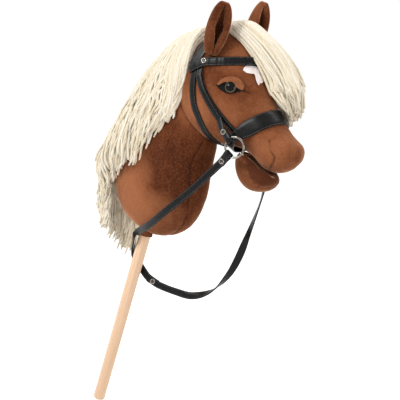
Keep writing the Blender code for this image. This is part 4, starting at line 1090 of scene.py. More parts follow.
class HORSE_OT_ears(bpy.types.Operator):
    """Dress the two stiff ears"""

    bl_idname = "horse.ears"
    bl_label = "Ears"

    def execute(self, context):
        for side, word in SIDE_WORDS.items():
            node = "ear_" + word
            piece = cloth_form(node, "velvet_ear_" + word, EAR_CELL, 5)
            wall = bell(folded_in(piece, EAR_FOLD_REACH) - EAR_WALL, EAR_WALL_SPREAD)
            places = points_of(piece.data) + normals_of(piece.data) * (wall * EAR_PUFF)[:, None]
            low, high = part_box(node)
            share = np.clip((places[:, 2] - low.z) / (high.z - low.z), 0, 1)
            set_points(piece.data, places + np.outer(share, np.array(EAR_BENDS[side])))
            softened(piece, 6)
            # Painted shade, in the mouth's darker colour, where the ear itself closes in the view out of its
            # cloth
            painted_shade = np.clip((folded_in(piece, EAR_FOLD_REACH) - EAR_SHADE) / EAR_SHADE_SPREAD, 0, 1)
            store(piece.data, "inside", painted_shade)
            store(piece.data, "seam", 0.0)
            settle(piece, body_velvet(), "velvet", node)
        return {"FINISHED"}


class HORSE_OT_pocket(bpy.types.Operator):
    """Dress the sewn sleeve that holds the stick's top, with its rolled hem"""

    bl_idname = "horse.pocket"
    bl_label = "Stick pocket"

    def execute(self, context):
        piece = welded("stick_pocket", "velvet_pocket")
        places = points_of(piece.data)
        angle = np.arctan2(places[:, 1], places[:, 0])
        low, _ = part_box("stick_pocket")
        # Seven shallow folds run up the sleeve's outside from its hem
        near_hem = bell(places[:, 2] - low.z, 0.012)
        outer = np.linalg.norm(places[:, :2], axis=1) > 0.0113
        swell = 0.0004 * np.sin(angle * 7) * near_hem * outer
        places[:, 0] += np.cos(angle) * swell
        places[:, 1] += np.sin(angle) * swell
        set_points(piece.data, places)
        smooth = piece.modifiers.new("smooth", "SUBSURF")
        smooth.levels = smooth.render_levels = 1
        applied(piece)
        store(piece.data, "seam", 0.0)
        settle(piece, body_velvet(), "velvet", "stick_pocket")
        return {"FINISHED"}


# ---------------------------------------------------------------- Yarn


def neighbours(grid):
    """The four neighbours of every place of a grid that has a margin of one."""
    return grid[:-2, 1:-1], grid[2:, 1:-1], grid[1:-1, :-2], grid[1:-1, 2:]


class Envelope:
    """The room of a yarn piece between its underside and its top, read from its solid.

    A place in it has a share down the piece, a share across (-1 to 1) and a share of its depth.
    """

    # How far out the solid is looked for, its depth where no underside is found, and its least depth
    REACH = 0.25
    USUAL_DEPTH = 0.004
    LEAST_DEPTH = 0.002

    def __init__(self, node, ray, rows, columns=49):
        self.ray = ray
        self.rows = rows
        self.columns = columns
        tree = surface_tree(node)
        self.under = np.full((rows, columns), np.nan)
        self.over = np.full((rows, columns), np.nan)
        for r in range(rows):
            for c in range(columns):
                start, outward = ray(r / (rows - 1), 2 * c / (columns - 1) - 1)
                away = tree.ray_cast(start + outward * self.REACH, -outward, self.REACH)[3]
                if away is None:
                    continue
                self.over[r, c] = self.REACH - away
                reached = tree.ray_cast(start, outward, self.REACH)[3]
                self.under[r, c] = self.over[r, c] - self.USUAL_DEPTH if reached is None else reached
        for grid in (self.under, self.over):
            self.fill(grid)
            self.soften(grid)
        self.under = np.minimum(self.under, self.over - self.LEAST_DEPTH)

    def fill(self, grid):
        """Give the places that the solid misses their neighbours' heights."""
        while np.isnan(grid).any():
            near = np.stack(neighbours(np.pad(grid, 1, constant_values=np.nan)))
            known = ~np.isnan(near)
            total = np.where(known, near, 0).sum(axis=0)
            count = known.sum(axis=0)
            empty = np.isnan(grid) & (count > 0)
            grid[empty] = total[empty] / count[empty]

    def soften(self, grid):
        """Even out the steps of the solid's facets."""
        for _ in range(3):
            above, below, left, right = neighbours(np.pad(grid, 1, mode="edge"))
            grid[:] = (2 * grid + above + below + left + right) / 6

    def height(self, grid, down, across):
        r = min(max(down, 0.0), 1.0) * (self.rows - 1)
        c = min(max((across + 1) / 2, 0.0), 1.0) * (self.columns - 1)
        r0 = min(int(r), self.rows - 2)
        c0 = min(int(c), self.columns - 2)
        fr = r - r0
        fc = c - c0
        top = grid[r0, c0] * (1 - fc) + grid[r0, c0 + 1] * fc
        low = grid[r0 + 1, c0] * (1 - fc) + grid[r0 + 1, c0 + 1] * fc
        return top * (1 - fr) + low * fr

    def place(self, down, across, depth):
        start, outward = self.ray(down, across)
        under = self.height(self.under, down, across)
        over = self.height(self.over, down, across)
        return start + outward * (under + (over - under) * depth)


def table_at(rows, share):
    """A row of numbers read from a table at a share of its length."""
    spot = min(max(share, 0.0), 1.0) * (len(rows) - 1)
    first = min(int(spot), len(rows) - 2)
    part = spot - first
    return [a + (b - a) * part for a, b in zip(rows[first], rows[first + 1])]


# The mane from the poll to its lower fringe: place of the ray's start, rise of the crest's facing, fall
# on the right and on the left side in degrees round the neck, and how far the left side hangs lower
MANE_ROWS = (
    (0.034, 0.632, 66, 62, 62, 0.0),
    (0.020, 0.622, 60, 90, 90, 0.0),
    (0.005, 0.592, 45, 106, 104, 0.0),
    (-0.015, 0.560, 30, 134, 122, 0.0),
    (-0.030, 0.530, 20, 134, 124, 0.0),
    (-0.042, 0.495, 12, 133, 122, 0.0),
    (-0.050, 0.455, 5, 120, 118, 0.0),
    (-0.052, 0.420, 0, 88, 112, 0.0),
    (-0.052, 0.392, -4, 44, 108, 0.0),
    (-0.050, 0.365, -8, 14, 104, 0.004),
    (-0.048, 0.340, -8, 4, 102, 0.010),
    (-0.046, 0.322, -6, 0, 100, 0.024),
    (-0.046, 0.308, -4, 0, 98, 0.038),
)


def hem_angle(side, down):
    """How far round the neck the mane reaches on a side, in degrees."""
    return table_at(MANE_ROWS, down)[4 if side == LEFT else 3]


def hem_row(side, angle):
    """The lowest share down the mane at which it still reaches an angle on a side."""
    for step in range(100, 0, -1):
        if hem_angle(side, step / 100) >= angle:
            return step / 100
    return 0.0


def mane_ray(down, across):
    """A ray from inside the neck through the mane: down its length, and across from right to left."""
    x, z, rise, _, _, drop = table_at(MANE_ROWS, down)
    rise = math.radians(rise)
    back = Vector((-math.cos(rise), 0, math.sin(rise)))
    angle = math.radians(across * hem_angle(LEFT if across > 0 else RIGHT, down))
    outward = back * math.cos(angle) + Vector((0, 1, 0)) * math.sin(angle)
    # The left side hangs lower, and strands that pass the hem go on down
    drop = drop * max(math.sin(angle), 0) + 0.34 * max(0.0, down - 1)
    return Vector((x, 0, z - drop)), outward


# The forelock from its root down the face: place along the head, and its right and left edge in
# degrees round the head's axis
FORELOCK_ROWS = (
    (-0.009, -12, 13),
    (-0.002, -12, 13),
    (0.006, -13, 15),
    (0.014, -14, 17),
    (0.024, -14, 17),
    (0.045, -12, 20),
    (0.080, -9, 25),
    (0.112, -4, 24.5),
    (0.130, -3, 26),
    (0.148, -1, 31),
    (0.172, 6, 33),
)


def forelock_ray(down, across):
    """A ray from inside the head through the forelock: down the face, and across to its left side."""
    along, near, far = table_at(FORELOCK_ROWS, down)
    angle = math.radians(near + (far - near) * (across + 1) / 2)
    outward = HEAD_UPWARD * math.cos(angle) + Vector((0, 1, 0)) * math.sin(angle)
    return HEAD_BACK + HEAD_FORWARD * along + HEAD_UPWARD * 0.010, outward


# The shares of a strand's length at which it is placed, and a step that spreads strands evenly
STRAND_SHARES = [i / 18 for i in range(19)]
GOLDEN_STEP = 0.6180339
# Depths of the layers that the strands lie in, as shares of the yarn's room
MANE_LAYERS = (0.36, 0.68, 0.98)
FORELOCK_LAYERS = (0.22, 0.50, 0.76, 0.98)
# Length of one turn of a strand's ply, in radii, and how far from its backing the inner yarn ends
PLY_PITCH = 5.2
BED_REACH = 0.009
# How far a strand wanders off its way, and its tip besides
WANDER = 0.0010
TIP_WANDER = 0.0050


class Yarn:
    """Strands of twisted yarn gathered into one mesh."""

    def __init__(self):
        self.vertices = []
        self.faces = []
        self.turns = []
        self.tints = []

    def strand(self, points, radius, tint, sides=7):
        """One strand along points: round, with a soft cut end."""
        last = len(points) - 1
        self.faces += tube_faces(len(self.vertices), len(points), sides)
        facing = Vector((0.31, 0.95, 0.12))
        length = 0.0
        for i, point in enumerate(points):
            _, across, facing = frame_on(way_at(points, i), facing)
            thick = radius * {0: 0.6, last: 0.72}.get(i, 1.0)
            for c, s in circle(sides):
                self.vertices.append(point + (across * c + facing * s) * thick)
                self.tints.append(tint)
            if i:
                step = (point - points[i - 1]).length
                length += step
                low = (length - step) / (radius * PLY_PITCH)
                high = length / (radius * PLY_PITCH)
                for k in range(sides):
                    left, right = k / sides, (k + 1) / sides
                    self.turns += [(left, low), (right, low), (right, high), (left, high)]
        self.turns += [(0.0, 0.0)] * (2 * sides)

    def grown(self, points, rng):
        """One strand that wanders off its points, more towards its end, with a width and tint of its own."""
        phase = [rng.uniform(0, 2 * math.pi) for _ in range(4)]
        side = Vector((rng.gauss(0, 1), rng.gauss(0, 1), rng.gauss(0, 0.5))).normalized()
        result = []
        for share, point in zip(STRAND_SHARES, points):
            swing = math.sin(share * 5.0 + phase[0]) * 0.6 + math.sin(share * 11.0 + phase[1]) * 0.3
            cross = math.sin(share * 7.0 + phase[2]) * 0.6
            reach = WANDER * (0.25 + share) + TIP_WANDER * share**3
            lateral = Vector((math.sin(phase[3]), math.cos(phase[3]), 0.2)) * cross
            result.append(point + (side * swing + lateral) * reach)
        self.strand(result, sizes().yarn_radius * rng.uniform(0.88, 1.12), rng.uniform(0.0, 1.0))

    def made(self, name):
        piece = new_piece(name, self.vertices, self.faces)
        layer = piece.data.uv_layers.new(name="yarn")
        layer.data.foreach_set("uv", np.array(self.turns, np.float32).ravel())
        store(piece.data, "tint", self.tints)
        face_out(piece.data)
        return piece


def yarn_bed(node, name, depth, backing):
    """The close inner layers of a yarn piece, under its outer strands, where it lies on its backing."""
    piece = cloth_form(node, name, YARN_BED_CELL, 6)
    set_points(piece.data, points_of(piece.data) - normals_of(piece.data) * depth)
    tree = surface_tree(*backing)
    with edited(piece.data) as bm:
        loose = [v for v in bm.verts if tree.find_nearest(v.co)[3] > BED_REACH]
        bmesh.ops.delete(bm, geom=loose, context="VERTS")
    settle(piece, bed_material("Inner yarn"), "yarn")


class HORSE_OT_mane(bpy.types.Operator):
    """Dress the mane: strands sewn in along the crest and falling over both sides"""

    bl_idname = "horse.mane"
    bl_label = "Mane"

    def execute(self, context):
        rng = random.Random(11)
        room = Envelope("mane", mane_ray, 84)
        yarn = Yarn()
        for k in range(sizes().mane_strands):
            side = RIGHT if k % 2 else LEFT
            depth = MANE_LAYERS[(k // 2) % 3] + rng.uniform(-0.12, 0.04)
            row = ((k // 6) * GOLDEN_STEP) % 1.0
            start = row**1.25 * 0.80
            fall = rng.uniform(0.29, 0.40)
            turn = rng.random() ** 0.75 * hem_angle(side, min(start + fall * 0.75, 1.0))
            # Strands far round the neck hang past the hem, which is uneven there
            spare = 0.07 if turn > 105 else 0.01
            stop = min(start + fall, hem_row(side, turn) + spare) + rng.triangular(-0.07, 0.055, 0.0)
            stop = max(stop, min(start + 0.2, 1.0))
            if k % 7 < 2:
                # A strand of the front edge, from the poll to the hem's corner
                start = row * 0.11
                turn = hem_angle(side, 0.3) * rng.uniform(0.88, 1.02)
                stop = rng.uniform(0.28, 0.345)
            # Strands near the poll turn down sooner
            bend = 2.2 + 2.2 * max(0.0, 1 - row / 0.2)
            points = []
            for share in STRAND_SHARES:
                down = start + (stop - start) * share
                angle = turn * (1 - (1 - share) ** bend)
                across = side * angle / max(hem_angle(side, down), 12.0)
                crest = 0.05 * max(0.0, 1 - down / 0.16)
                point = room.place(down, across, depth + crest)
                point.z -= 0.007 * max(0.0, share - 0.6) ** 1.5
                points.append(point)
            yarn.grown(points, rng)
        settle(yarn.made("yarn_mane"), yarn_material("Cream yarn"), "yarn", "mane")
        yarn_bed("mane", "yarn_mane_bed", 0.0042, ["neck", "head", "headpiece"])
        return {"FINISHED"}


class HORSE_OT_forelock(bpy.types.Operator):
    """Dress the forelock: strands from between the ears over the face"""

    bl_idname = "horse.forelock"
    bl_label = "Forelock"

    def execute(self, context):
        rng = random.Random(23)
        room = Envelope("forelock", forelock_ray, 60, 25)
        yarn = Yarn()
        for k in range(sizes().forelock_strands):
            depth = FORELOCK_LAYERS[k % 4] + rng.uniform(-0.08, 0.03)
            edge = (((k // 4) * GOLDEN_STEP) % 1.0) * 2 - 1
            stop = 1.0 + rng.uniform(-0.16, 0.05) - 0.10 * max(0.0, -edge - 0.5)
            start = rng.uniform(-0.02, 0.04)
            points = []
            for share in STRAND_SHARES:
                lift = depth - 0.15 * max(0.0, 0.06 - share) / 0.06
                down = start + (stop - start) * share
                points.append(room.place(down, edge * (0.85 + 0.18 * share), lift))
            yarn.grown(points, rng)
        settle(yarn.made("yarn_forelock"), yarn_material("Cream yarn"), "yarn", "forelock")
        yarn_bed("forelock", "yarn_forelock_bed", 0.0060, ["head", "headpiece", "browband"])
        return {"FINISHED"}


# ---------------------------------------------------------------- Straps


def thread_inset(half):
    """How far the stitching of a strap of a half width lies from its edge."""
    return min(sizes().stitch_inset, half * 0.5)


def strap_section(half, thickness):
    """Outline of a strap's cut end, as (across, height): a stitched groove near each edge, a soft crown."""
    inset = thread_inset(half)
    groove = 0.00045
    right = [
        (half - 0.00035, 0.0),
        (half, thickness * 0.28),
        (half, thickness * 0.66),
        (half - 0.00045, thickness * 0.93),
        (half - inset + groove, thickness),
        (half - inset, thickness - 0.00022),
        (half - inset - groove, thickness),
        ((half - inset) * 0.5, thickness + 0.00012),
    ]
    left = [(-across, height) for across, height in reversed(right)]
    return right + [(0.0, thickness + 0.00015)] + left


def strap_sweep(name, rows, thickness, closed=False, wrinkle=0.0):
    """A finished strap over rows of its inner face: left edge, right edge and facing."""
    step = 0.0016
    values = [Vector((*((l + r) / 2), *(r - l), *facing)) for l, r, facing in rows]
    if closed:
        values = values[-3:] + values + values[:3]
    fine = smooth_path(values, step)
    if closed:
        # Only one turn of the closed strap is kept of the path, which runs on past both its ends
        total = len(fine)
        last = path_length(fine)
        first = int(round(path_length(values[:4]) / last * total))
        fine = fine[first : total - int(round(path_length(values[-4:]) / last * total))]
    vertices = []
    faces = []
    centres = []
    size = 0
    for i, value in enumerate(fine):
        centre = Vector(value[:3])
        span = Vector(value[3:6])
        facing = Vector(value[6:9]).normalized()
        half = span.length / 2
        across = span.normalized()
        facing = (facing - across * facing.dot(across)).normalized()
        if wrinkle:
            wave = noise.fractal(Vector((i * step * 55.0, 0.0, 0.3)), 0.8, 2.0, 3)
            centre = centre + facing * max(wave, -0.3) * wrinkle
        section = strap_section(half, thickness)
        size = len(section)
        vertices += [centre + across * s + facing * h for s, h in section]
        centres.append((centre, across, facing, half))
    count = len(fine)
    for i in range(count if closed else count - 1):
        a = i * size
        b = ((i + 1) % count) * size
        for k in range(size):
            after = (k + 1) % size
            faces.append((a + k, b + k, b + after, a + after))
    if not closed:
        faces.append(tuple(range(size)))
        faces.append(tuple((count - 1) * size + k for k in reversed(range(size))))
    piece = new_piece(name, vertices, faces)
    face_out(piece.data)
    piece.data.set_sharp_from_angle(angle=math.radians(60))
    return piece, centres


def strap_stitching(name, centres, thickness):
    """Thread along both edges of a strap."""
    pitch = sizes().stitch_pitch
    middles = [centre for centre, _, _, _ in centres]
    places = []
    gone = 0.0
    wanted = pitch / 2
    for i, (centre, across, facing, half) in enumerate(centres):
        gone += (centre - middles[max(i - 1, 0)]).length
        if gone < wanted:
            continue
        wanted += pitch
        for edge in (-1, 1):
            point = centre + across * edge * (half - thread_inset(half)) + facing * (thickness - 0.00010)
            places.append((point, way_at(middles, i), facing))
    material = thread_material("Strap thread", colors().thread)
    return stitches(name, places, material, "black_leather", 0.00024, pitch * 0.66)


def filled(heights):
    """Heights in which each one that is missing has its nearest neighbour's."""
    known = [i for i, h in enumerate(heights) if h is not None]
    return [heights[min(known, key=lambda k: abs(k - i))] for i in range(len(heights))]


def rows_from_solid(node, stations, widths, thickness, closed=False):
    """Rows of a strap's inner face, felt from outside on its own solid."""
    tree = surface_tree(node)
    reach = 0.14

    def felt(places):
        heights = []
        for place, (_, outward) in zip(places, stations):
            away = tree.ray_cast(place + outward * reach, -outward, reach)[3]
            heights.append(None if away is None else reach - away)
        return filled(heights)

    line = [m + o * h for (m, o), h in zip(stations, felt([m for m, _ in stations]))]
    sideways = [way_at(line, i, closed).cross(o).normalized() for i, (_, o) in enumerate(stations)]
    edges = []
    for edge in (-1, 1):
        probes = [
            m + across * (edge * (width / 2 - 0.0007))
            for (m, _), across, width in zip(stations, sideways, widths)
        ]
        edges.append([
            m + across * (edge * width / 2) + outward * (height - thickness)
            for (m, outward), across, width, height in zip(stations, sideways, widths, felt(probes))
        ])
    return list(zip(*edges, [o for _, o in stations]))


def solid_rows(node, stations, width):
    """Rows of an open strap of one width on its own solid."""
    return rows_from_solid(node, stations, [width] * len(stations), STRAP_THICKNESS)


def mirrored_rows(rows):
    """The rows of the same strap on the other side of the head."""
    flip = Vector((1, -1, 1))
    return [(r * flip, l * flip, facing * flip) for l, r, facing in rows]


def girth_stations(middle, incline, start, stop, count):
    """Stations round the head in a plane: `incline` is the plane's rise, angles run from its top."""
    upward = Vector((math.cos(incline), 0, math.sin(incline)))
    stations = []
    for k in range(count):
        angle = start + (stop - start) * k / (count - 1)
        outward = upward * math.cos(angle) + Vector((0, 1, 0)) * math.sin(angle)
        stations.append((Vector(middle), outward.normalized()))
    return stations


def felt_stations(points, step=0.004):
    """Stations along (x, tilt, height) points: a tilt of 0 feels to the right, a quarter turn down."""
    reach = 0.045
    curve = [Vector((x, tilt * reach, z)) for x, tilt, z in points]
    stations = []
    for x, tilt, z in smooth_path(curve, step):
        tilt /= reach
        stations.append((Vector((x, 0, z)), Vector((0, -math.cos(tilt), -math.sin(tilt)))))
    return stations


def ring_axes(side):
    """The ring's turning axis, its forward and its up direction."""
    outward = Vector((math.sin(RING_YAW), side * math.cos(RING_YAW), 0))
    forward = Vector((math.cos(RING_YAW), -side * math.sin(RING_YAW), 0))
    return outward, forward, Vector((0, 0, 1))


def ring_centre(side):
    return Vector((RING_CENTRE.x, side * RING_CENTRE.y, RING_CENTRE.z))


def wire_place(side, angle):
    """Centre of the ring's wire at an angle, the direction out from the ring's centre, and the axis."""
    outward, forward, up = ring_axes(side)
    radial = forward * math.cos(angle) + up * math.sin(angle)
    return ring_centre(side) + radial * (RING_OUTER_RADIUS - RING_WIRE_RADIUS), radial, outward


def loop_rows(side, angle, width):
    """Rows of a strap that comes in to a ring, turns round its wire and lies back under itself."""
    wire, radial, outward = wire_place(side, angle)
    toward = -radial
    across = toward.cross(outward)
    wire_circle = RING_OUTER_RADIUS - RING_WIRE_RADIUS
    curving = wire_circle - math.sqrt(wire_circle**2 - (width / 2) ** 2)
    bend = RING_WIRE_RADIUS + RING_PLAY + curving / 2
    centre = wire + toward * curving / 2
    start = math.pi - math.acos(bend / LOOP_TAIL)
    apart = STRAP_GAP / 2
    places = [(-LOOP_TAIL - LOOP_TAB, apart), (-LOOP_TAIL - LOOP_TAB / 2, apart), (-LOOP_TAIL, apart)]
    steps = 14
    for k in range(steps + 1):
        turn = start - 2 * start * k / steps
        places.append((bend * math.cos(turn), bend * math.sin(turn)))
    places += [(-LOOP_TAIL, -apart), (-LOOP_TAIL - LOOP_TAB / 2, -apart), (-LOOP_TAIL - LOOP_TAB, -apart)]
    rows = []
    for i, (along, high) in enumerate(places):
        before = places[max(i - 1, 0)]
        after = places[min(i + 1, len(places) - 1)]
        ahead = toward * (after[0] - before[0]) + outward * (after[1] - before[1])
        facing = ahead.normalized().cross(across).normalized()
        if i < 2:
            facing = outward
        point = centre + toward * along + outward * high
        rows.append((point - across * width / 2, point + across * width / 2, facing))
    if rows[3][2].dot(outward) < 0:
        rows = rows[:2] + [(l, r, -facing) for l, r, facing in rows[2:]]
    return rows


def route_rows(route, width, thickness):
    """Rows along a route of places with the direction that the strap faces at each."""
    values = smooth_path([Vector((*place, *facing)) for place, facing in route], 0.004)
    middles = [Vector(value[:3]) for value in values]
    rows = []
    for i, value in enumerate(values):
        _, across, facing = frame_on(way_at(middles, i), Vector(value[3:6]).normalized())
        middle = middles[i] - facing * thickness / 2
        rows.append((middle - across * width / 2, middle + across * width / 2, facing))
    return rows


def rein_routes():
    """The routes of both reins, from the lap beside the stick up to the rings."""
    facing = REIN_LAP_FACING
    half_step = (REIN_THICKNESS + STRAP_GAP) / 2
    under = REIN_LAP_PLACE - facing * half_step
    over = REIN_LAP_PLACE + facing * half_step
    way = REIN_LAP_WAY
    right = [
        (under + way * 0.009 + Vector((0, 0, -0.003)), facing),
        (under, facing),
        (under - way * 0.012 + Vector((0, 0, 0.005)) - facing * 0.0008, facing),
        (Vector((-0.0045, 0.0122, 0.254)), (0.35, -0.94, 0.0)),
        (Vector((-0.0118, 0.0065, 0.264)), (0.88, -0.48, 0.0)),
        (Vector((-0.0130, -0.0040, 0.280)), (0.95, 0.31, 0.0)),
        (Vector((-0.0100, -0.0140, 0.299)), (0.60, 0.80, 0.0)),
        (Vector((0.0060, -0.0270, 0.319)), (0.30, -0.95, 0.20)),
        (Vector((0.0350, -0.0430, 0.342)), (0.15, -0.98, 0.10)),
        (Vector((0.0670, -0.0540, 0.377)), (0.05, -1.00, 0.0)),
        (Vector((0.1020, -0.0530, 0.424)), (0.0, -1.00, 0.0)),
        (Vector((0.1240, -0.0510, 0.458)), (0.05, -1.00, 0.0)),
    ]
    left = [
        (over - way * 0.009 + Vector((0, 0, 0.003)), facing),
        (over, facing),
        (over + way * 0.014 + Vector((0, 0, -0.004)), facing),
        (Vector((0.065, 0.040, 0.230)), (0.50, -0.86, 0.0)),
        (Vector((0.098, 0.046, 0.236)), (0.40, -0.80, 0.40)),
        (Vector((0.132, 0.047, 0.260)), (-0.62, -0.40, 0.55)),
        (Vector((0.152, 0.047, 0.294)), (-0.75, 0.30, 0.40)),
        (Vector((0.162, 0.047, 0.330)), (-0.60, 0.75, 0.20)),
        (Vector((0.168, 0.046, 0.380)), (0.45, 0.89, 0.0)),
        (Vector((0.171, 0.047, 0.430)), (0.80, 0.60, 0.0)),
        (Vector((0.169, 0.048, 0.462)), (0.55, 0.83, 0.0)),
    ]
    return {RIGHT: right, LEFT: left}


class HORSE_OT_reins(bpy.types.Operator):
    bl_idname = "horse.reins"
    bl_label = "Reins"

    def execute(self, context):
        for side, route in rein_routes().items():
            word = SIDE_WORDS[side]
            loop = loop_rows(side, REIN_LOOP_ANGLES[side], REIN_WIDTH)
            leave = (loop[0][0] + loop[0][1]) / 2 + loop[0][2] * REIN_THICKNESS / 2
            rows = route_rows(route + [(leave, loop[0][2])], REIN_WIDTH, REIN_THICKNESS)[:-1] + loop
            piece, centres = strap_sweep("leather_rein_" + word, rows, REIN_THICKNESS)
            settle(piece, leather_material("Black leather"), "black_leather", "rein_" + word)
            names = [strap_stitching("stitching_rein_" + word, centres, REIN_THICKNESS)]
            names.append(bpy.data.objects.get("rivet_rein_" + word))
            if side == RIGHT:
                names.append(bpy.data.objects.get("rivet_rein_centre"))
        return {"FINISHED"}


class HORSE_OT_bridle(bpy.types.Operator):
    """Dress the bridle: headpiece, browband, cheekpieces, hangers, noseband and throatlatch"""

    bl_idname = "horse.bridle"
    bl_label = "Bridle"

    def execute(self, context):
        edge = math.radians(86)
        stations = girth_stations((0.034, 0, 0.606), math.radians(78), -edge, edge, 41)
        self.finished("headpiece", solid_rows("headpiece", stations, HEADPIECE_WIDTH))
        edge = math.radians(122)
        stations = girth_stations((0.060, 0, 0.6235), math.radians(18), -edge, edge, 61)
        for k, (middle, _) in enumerate(stations):
            # Past the head's sides the browband's ends sink to the cheekpieces
            past_side = max(abs(edge * (2 * k / 60 - 1)) - math.pi / 2, 0.0) / (edge - math.pi / 2)
            middle.z -= 0.011 * past_side**1.5
        self.finished("browband", solid_rows("browband", stations, BROWBAND_WIDTH), wrinkle=0.0015)
        self.noseband(60)
        half = [
            (0.042, 0.0, 0.607), (0.044, 0.0, 0.595), (0.050, 0.0, 0.575), (0.060, 0.0, 0.554),
            (0.072, 0.0, 0.538), (0.085, 0.30, 0.530), (0.098, 0.85, 0.527), (0.104, math.pi / 2, 0.527),
        ]
        other = [(x, math.pi - tilt, z) for x, tilt, z in reversed(half[:-1])]
        rows = solid_rows("throatlatch", felt_stations(half + other), THROATLATCH_WIDTH)
        self.finished("throatlatch", rows)
        path = [
            (0.059, 0.0, 0.596), (0.066, 0.0, 0.588), (0.084, 0.0, 0.573), (0.103, 0.0, 0.559),
            (0.122, 0.0, 0.547), (0.140, 0.0, 0.537), (0.151, 0.0, 0.532),
        ]
        rows = solid_rows("noseband_hanger_right", felt_stations(path), HANGER_WIDTH)
        self.pair("noseband_hanger", rows)
        path = [
            (0.052, 0.0, 0.612), (0.057, 0.0, 0.600), (0.068, 0.0, 0.586), (0.083, 0.0, 0.572),
            (0.100, 0.0, 0.558), (0.114, 0.0, 0.547),
        ]
        rows = solid_rows("cheekpiece_right", felt_stations(path), CHEEKPIECE_WIDTH)
        self.pair("cheekpiece", rows + loop_rows(RIGHT, CHEEK_LOOP_ANGLE, CHEEKPIECE_WIDTH))
        return {"FINISHED"}

    def noseband(self, count):
        """The closed strap round the nose, wide on top and narrow under the jaw."""
        stop = 2 * math.pi * (count - 1) / count
        stations = girth_stations((0.159, 0, 0.543), math.radians(47), 0, stop, count)
        widths = []
        for k in range(count):
            low = (1 - math.cos(2 * math.pi * k / count)) / 2
            share = min(max((low - 0.42) / 0.30, 0.0), 1.0)
            widths.append(NOSEBAND_TOP_WIDTH + (NOSEBAND_LOW_WIDTH - NOSEBAND_TOP_WIDTH) * share)
        rows = rows_from_solid("noseband", stations, widths, STRAP_THICKNESS, closed=True)
        self.finished("noseband", rows, closed=True)

    def pair(self, base, rows):
        for side, word in SIDE_WORDS.items():
            self.finished(base + "_" + word, rows if side == RIGHT else mirrored_rows(rows))

    def finished(self, node, rows, closed=False, wrinkle=0.0):
        piece, centres = strap_sweep("leather_" + node, rows, STRAP_THICKNESS, closed, wrinkle)
        settle(piece, leather_material("Black leather"), "black_leather", node)
        strap_stitching("stitching_" + node, centres, STRAP_THICKNESS)


# ---------------------------------------------------------------- Metal, eyes, patches and stick


def turning_axis(node):
    """Centre and axis of a turned solid, from the spread of its corners."""
    places = points_of(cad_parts[node].data)
    places = np.unique(places.round(6), axis=0).astype(float)
    centre = places.mean(axis=0)
    values, vectors = np.linalg.eigh(np.cov((places - centre).T))
    odd = 0 if abs(values[1] - values[2]) < abs(values[0] - values[1]) else 2
    return Vector(centre), Vector(vectors[:, odd]).normalized(), places


class HORSE_OT_rings(bpy.types.Operator):
    """Dress the two loose bit rings and the wire bit between them"""

    bl_idname = "horse.rings"
    bl_label = "Rings and bit"

    def execute(self, context):
        steps = 120
        sides = 20
        for side, word in SIDE_WORDS.items():
            vertices = []
            faces = []
            for i in range(steps):
                wire, radial, outward = wire_place(side, 2 * math.pi * i / steps)
                vertices += [wire + (radial * c + outward * s) * RING_WIRE_RADIUS for c, s in circle(sides)]
                a = i * sides
                b = ((i + 1) % steps) * sides
                for k in range(sides):
                    after = (k + 1) % sides
                    faces.append((a + k, a + after, b + after, b + k))
            piece = new_piece("plated_ring_" + word, vertices, faces)
            face_out(piece.data)
            settle(
                piece, metal_material("Bright plating"), "bright_metal", "bit_ring_" + word,
                body="ring_" + word,
            )
        wire = Yarn()
        points = self.bit_half(RIGHT) + self.bit_half(LEFT)[::-1]
        wire.strand(smooth_path(points, 0.0007), BIT_WIRE_RADIUS, 0.0, sides=14)
        piece = wire.made("plated_bit")
        settle(piece, metal_material("Bright plating"), "bright_metal", "bit_mouthpiece")
        return {"FINISHED"}

    def bit_half(self, side):
        """Half the mouthpiece, from its loop's free end round the ring's wire to the middle."""
        wire, radial, outward = wire_place(side, math.radians(-16))
        bend = RING_WIRE_RADIUS + RING_PLAY + BIT_WIRE_RADIUS
        points = []
        for k in range(12):
            turn = math.radians(368 - 278 * k / 11)
            points.append(wire - outward * bend * math.cos(turn) + radial * bend * math.sin(turn))
        points.append(points[-1] - outward * 0.007)
        return points


# A rivet as (radius, height) from its seat: its rolled head, and the hollow in it
RIVET_HEAD = (
    (0.0030, -0.00030), (0.00465, -0.00015), (0.0047, 0.00020), (0.00448, 0.00075), (0.0040, 0.00122),
    (0.0034, 0.00142), (0.00288, 0.00124), (0.00258, 0.00080), (0.00246, 0.00030),
)
RIVET_HOLLOW = ((0.0, 0.00036), (0.0012, 0.00032), (0.0021, 0.00036), (0.00252, 0.00052))
# The solids' rivets are wider than this at their caps only
RIVET_CAP_RADIUS = 0.0043


class HORSE_OT_rivets(bpy.types.Operator):
    """Dress the seven tubular rivets"""

    bl_idname = "horse.rivets"
    bl_label = "Rivets"

    def execute(self, context):
        kinds = ("browband", "cheek", "rein")
        names = [f"{kind}_rivet_{word}" for kind in kinds for word in SIDE_WORDS.values()]
        for node in names + ["rein_centre_rivet"]:
            centre, axis, places = turning_axis(node)
            away = places - np.array(centre)
            heights = away @ np.array(axis)
            wide = np.linalg.norm(away - np.outer(heights, np.array(axis)), axis=1) > RIVET_CAP_RADIUS
            cap = heights[wide]
            # The cap faces away from the rivet's narrower foot
            if cap.mean() > heights.min() / 2 + heights.max() / 2:
                outward, seat = axis, centre + axis * float(cap.min())
            else:
                outward, seat = -axis, centre + axis * float(cap.max())
            name = "rivet_" + "_".join(word for word in node.split("_") if word != "rivet")
            piece = turned_piece(name, RIVET_HEAD, 40, seat, outward)
            settle(piece, metal_material("Bright plating"), "bright_metal", node)
            hollow = turned_piece(name + "_hollow", RIVET_HOLLOW, 32, seat, outward)
            settle(hollow, hollow_material("Rivet hollow"), "bright_metal")
        return {"FINISHED"}


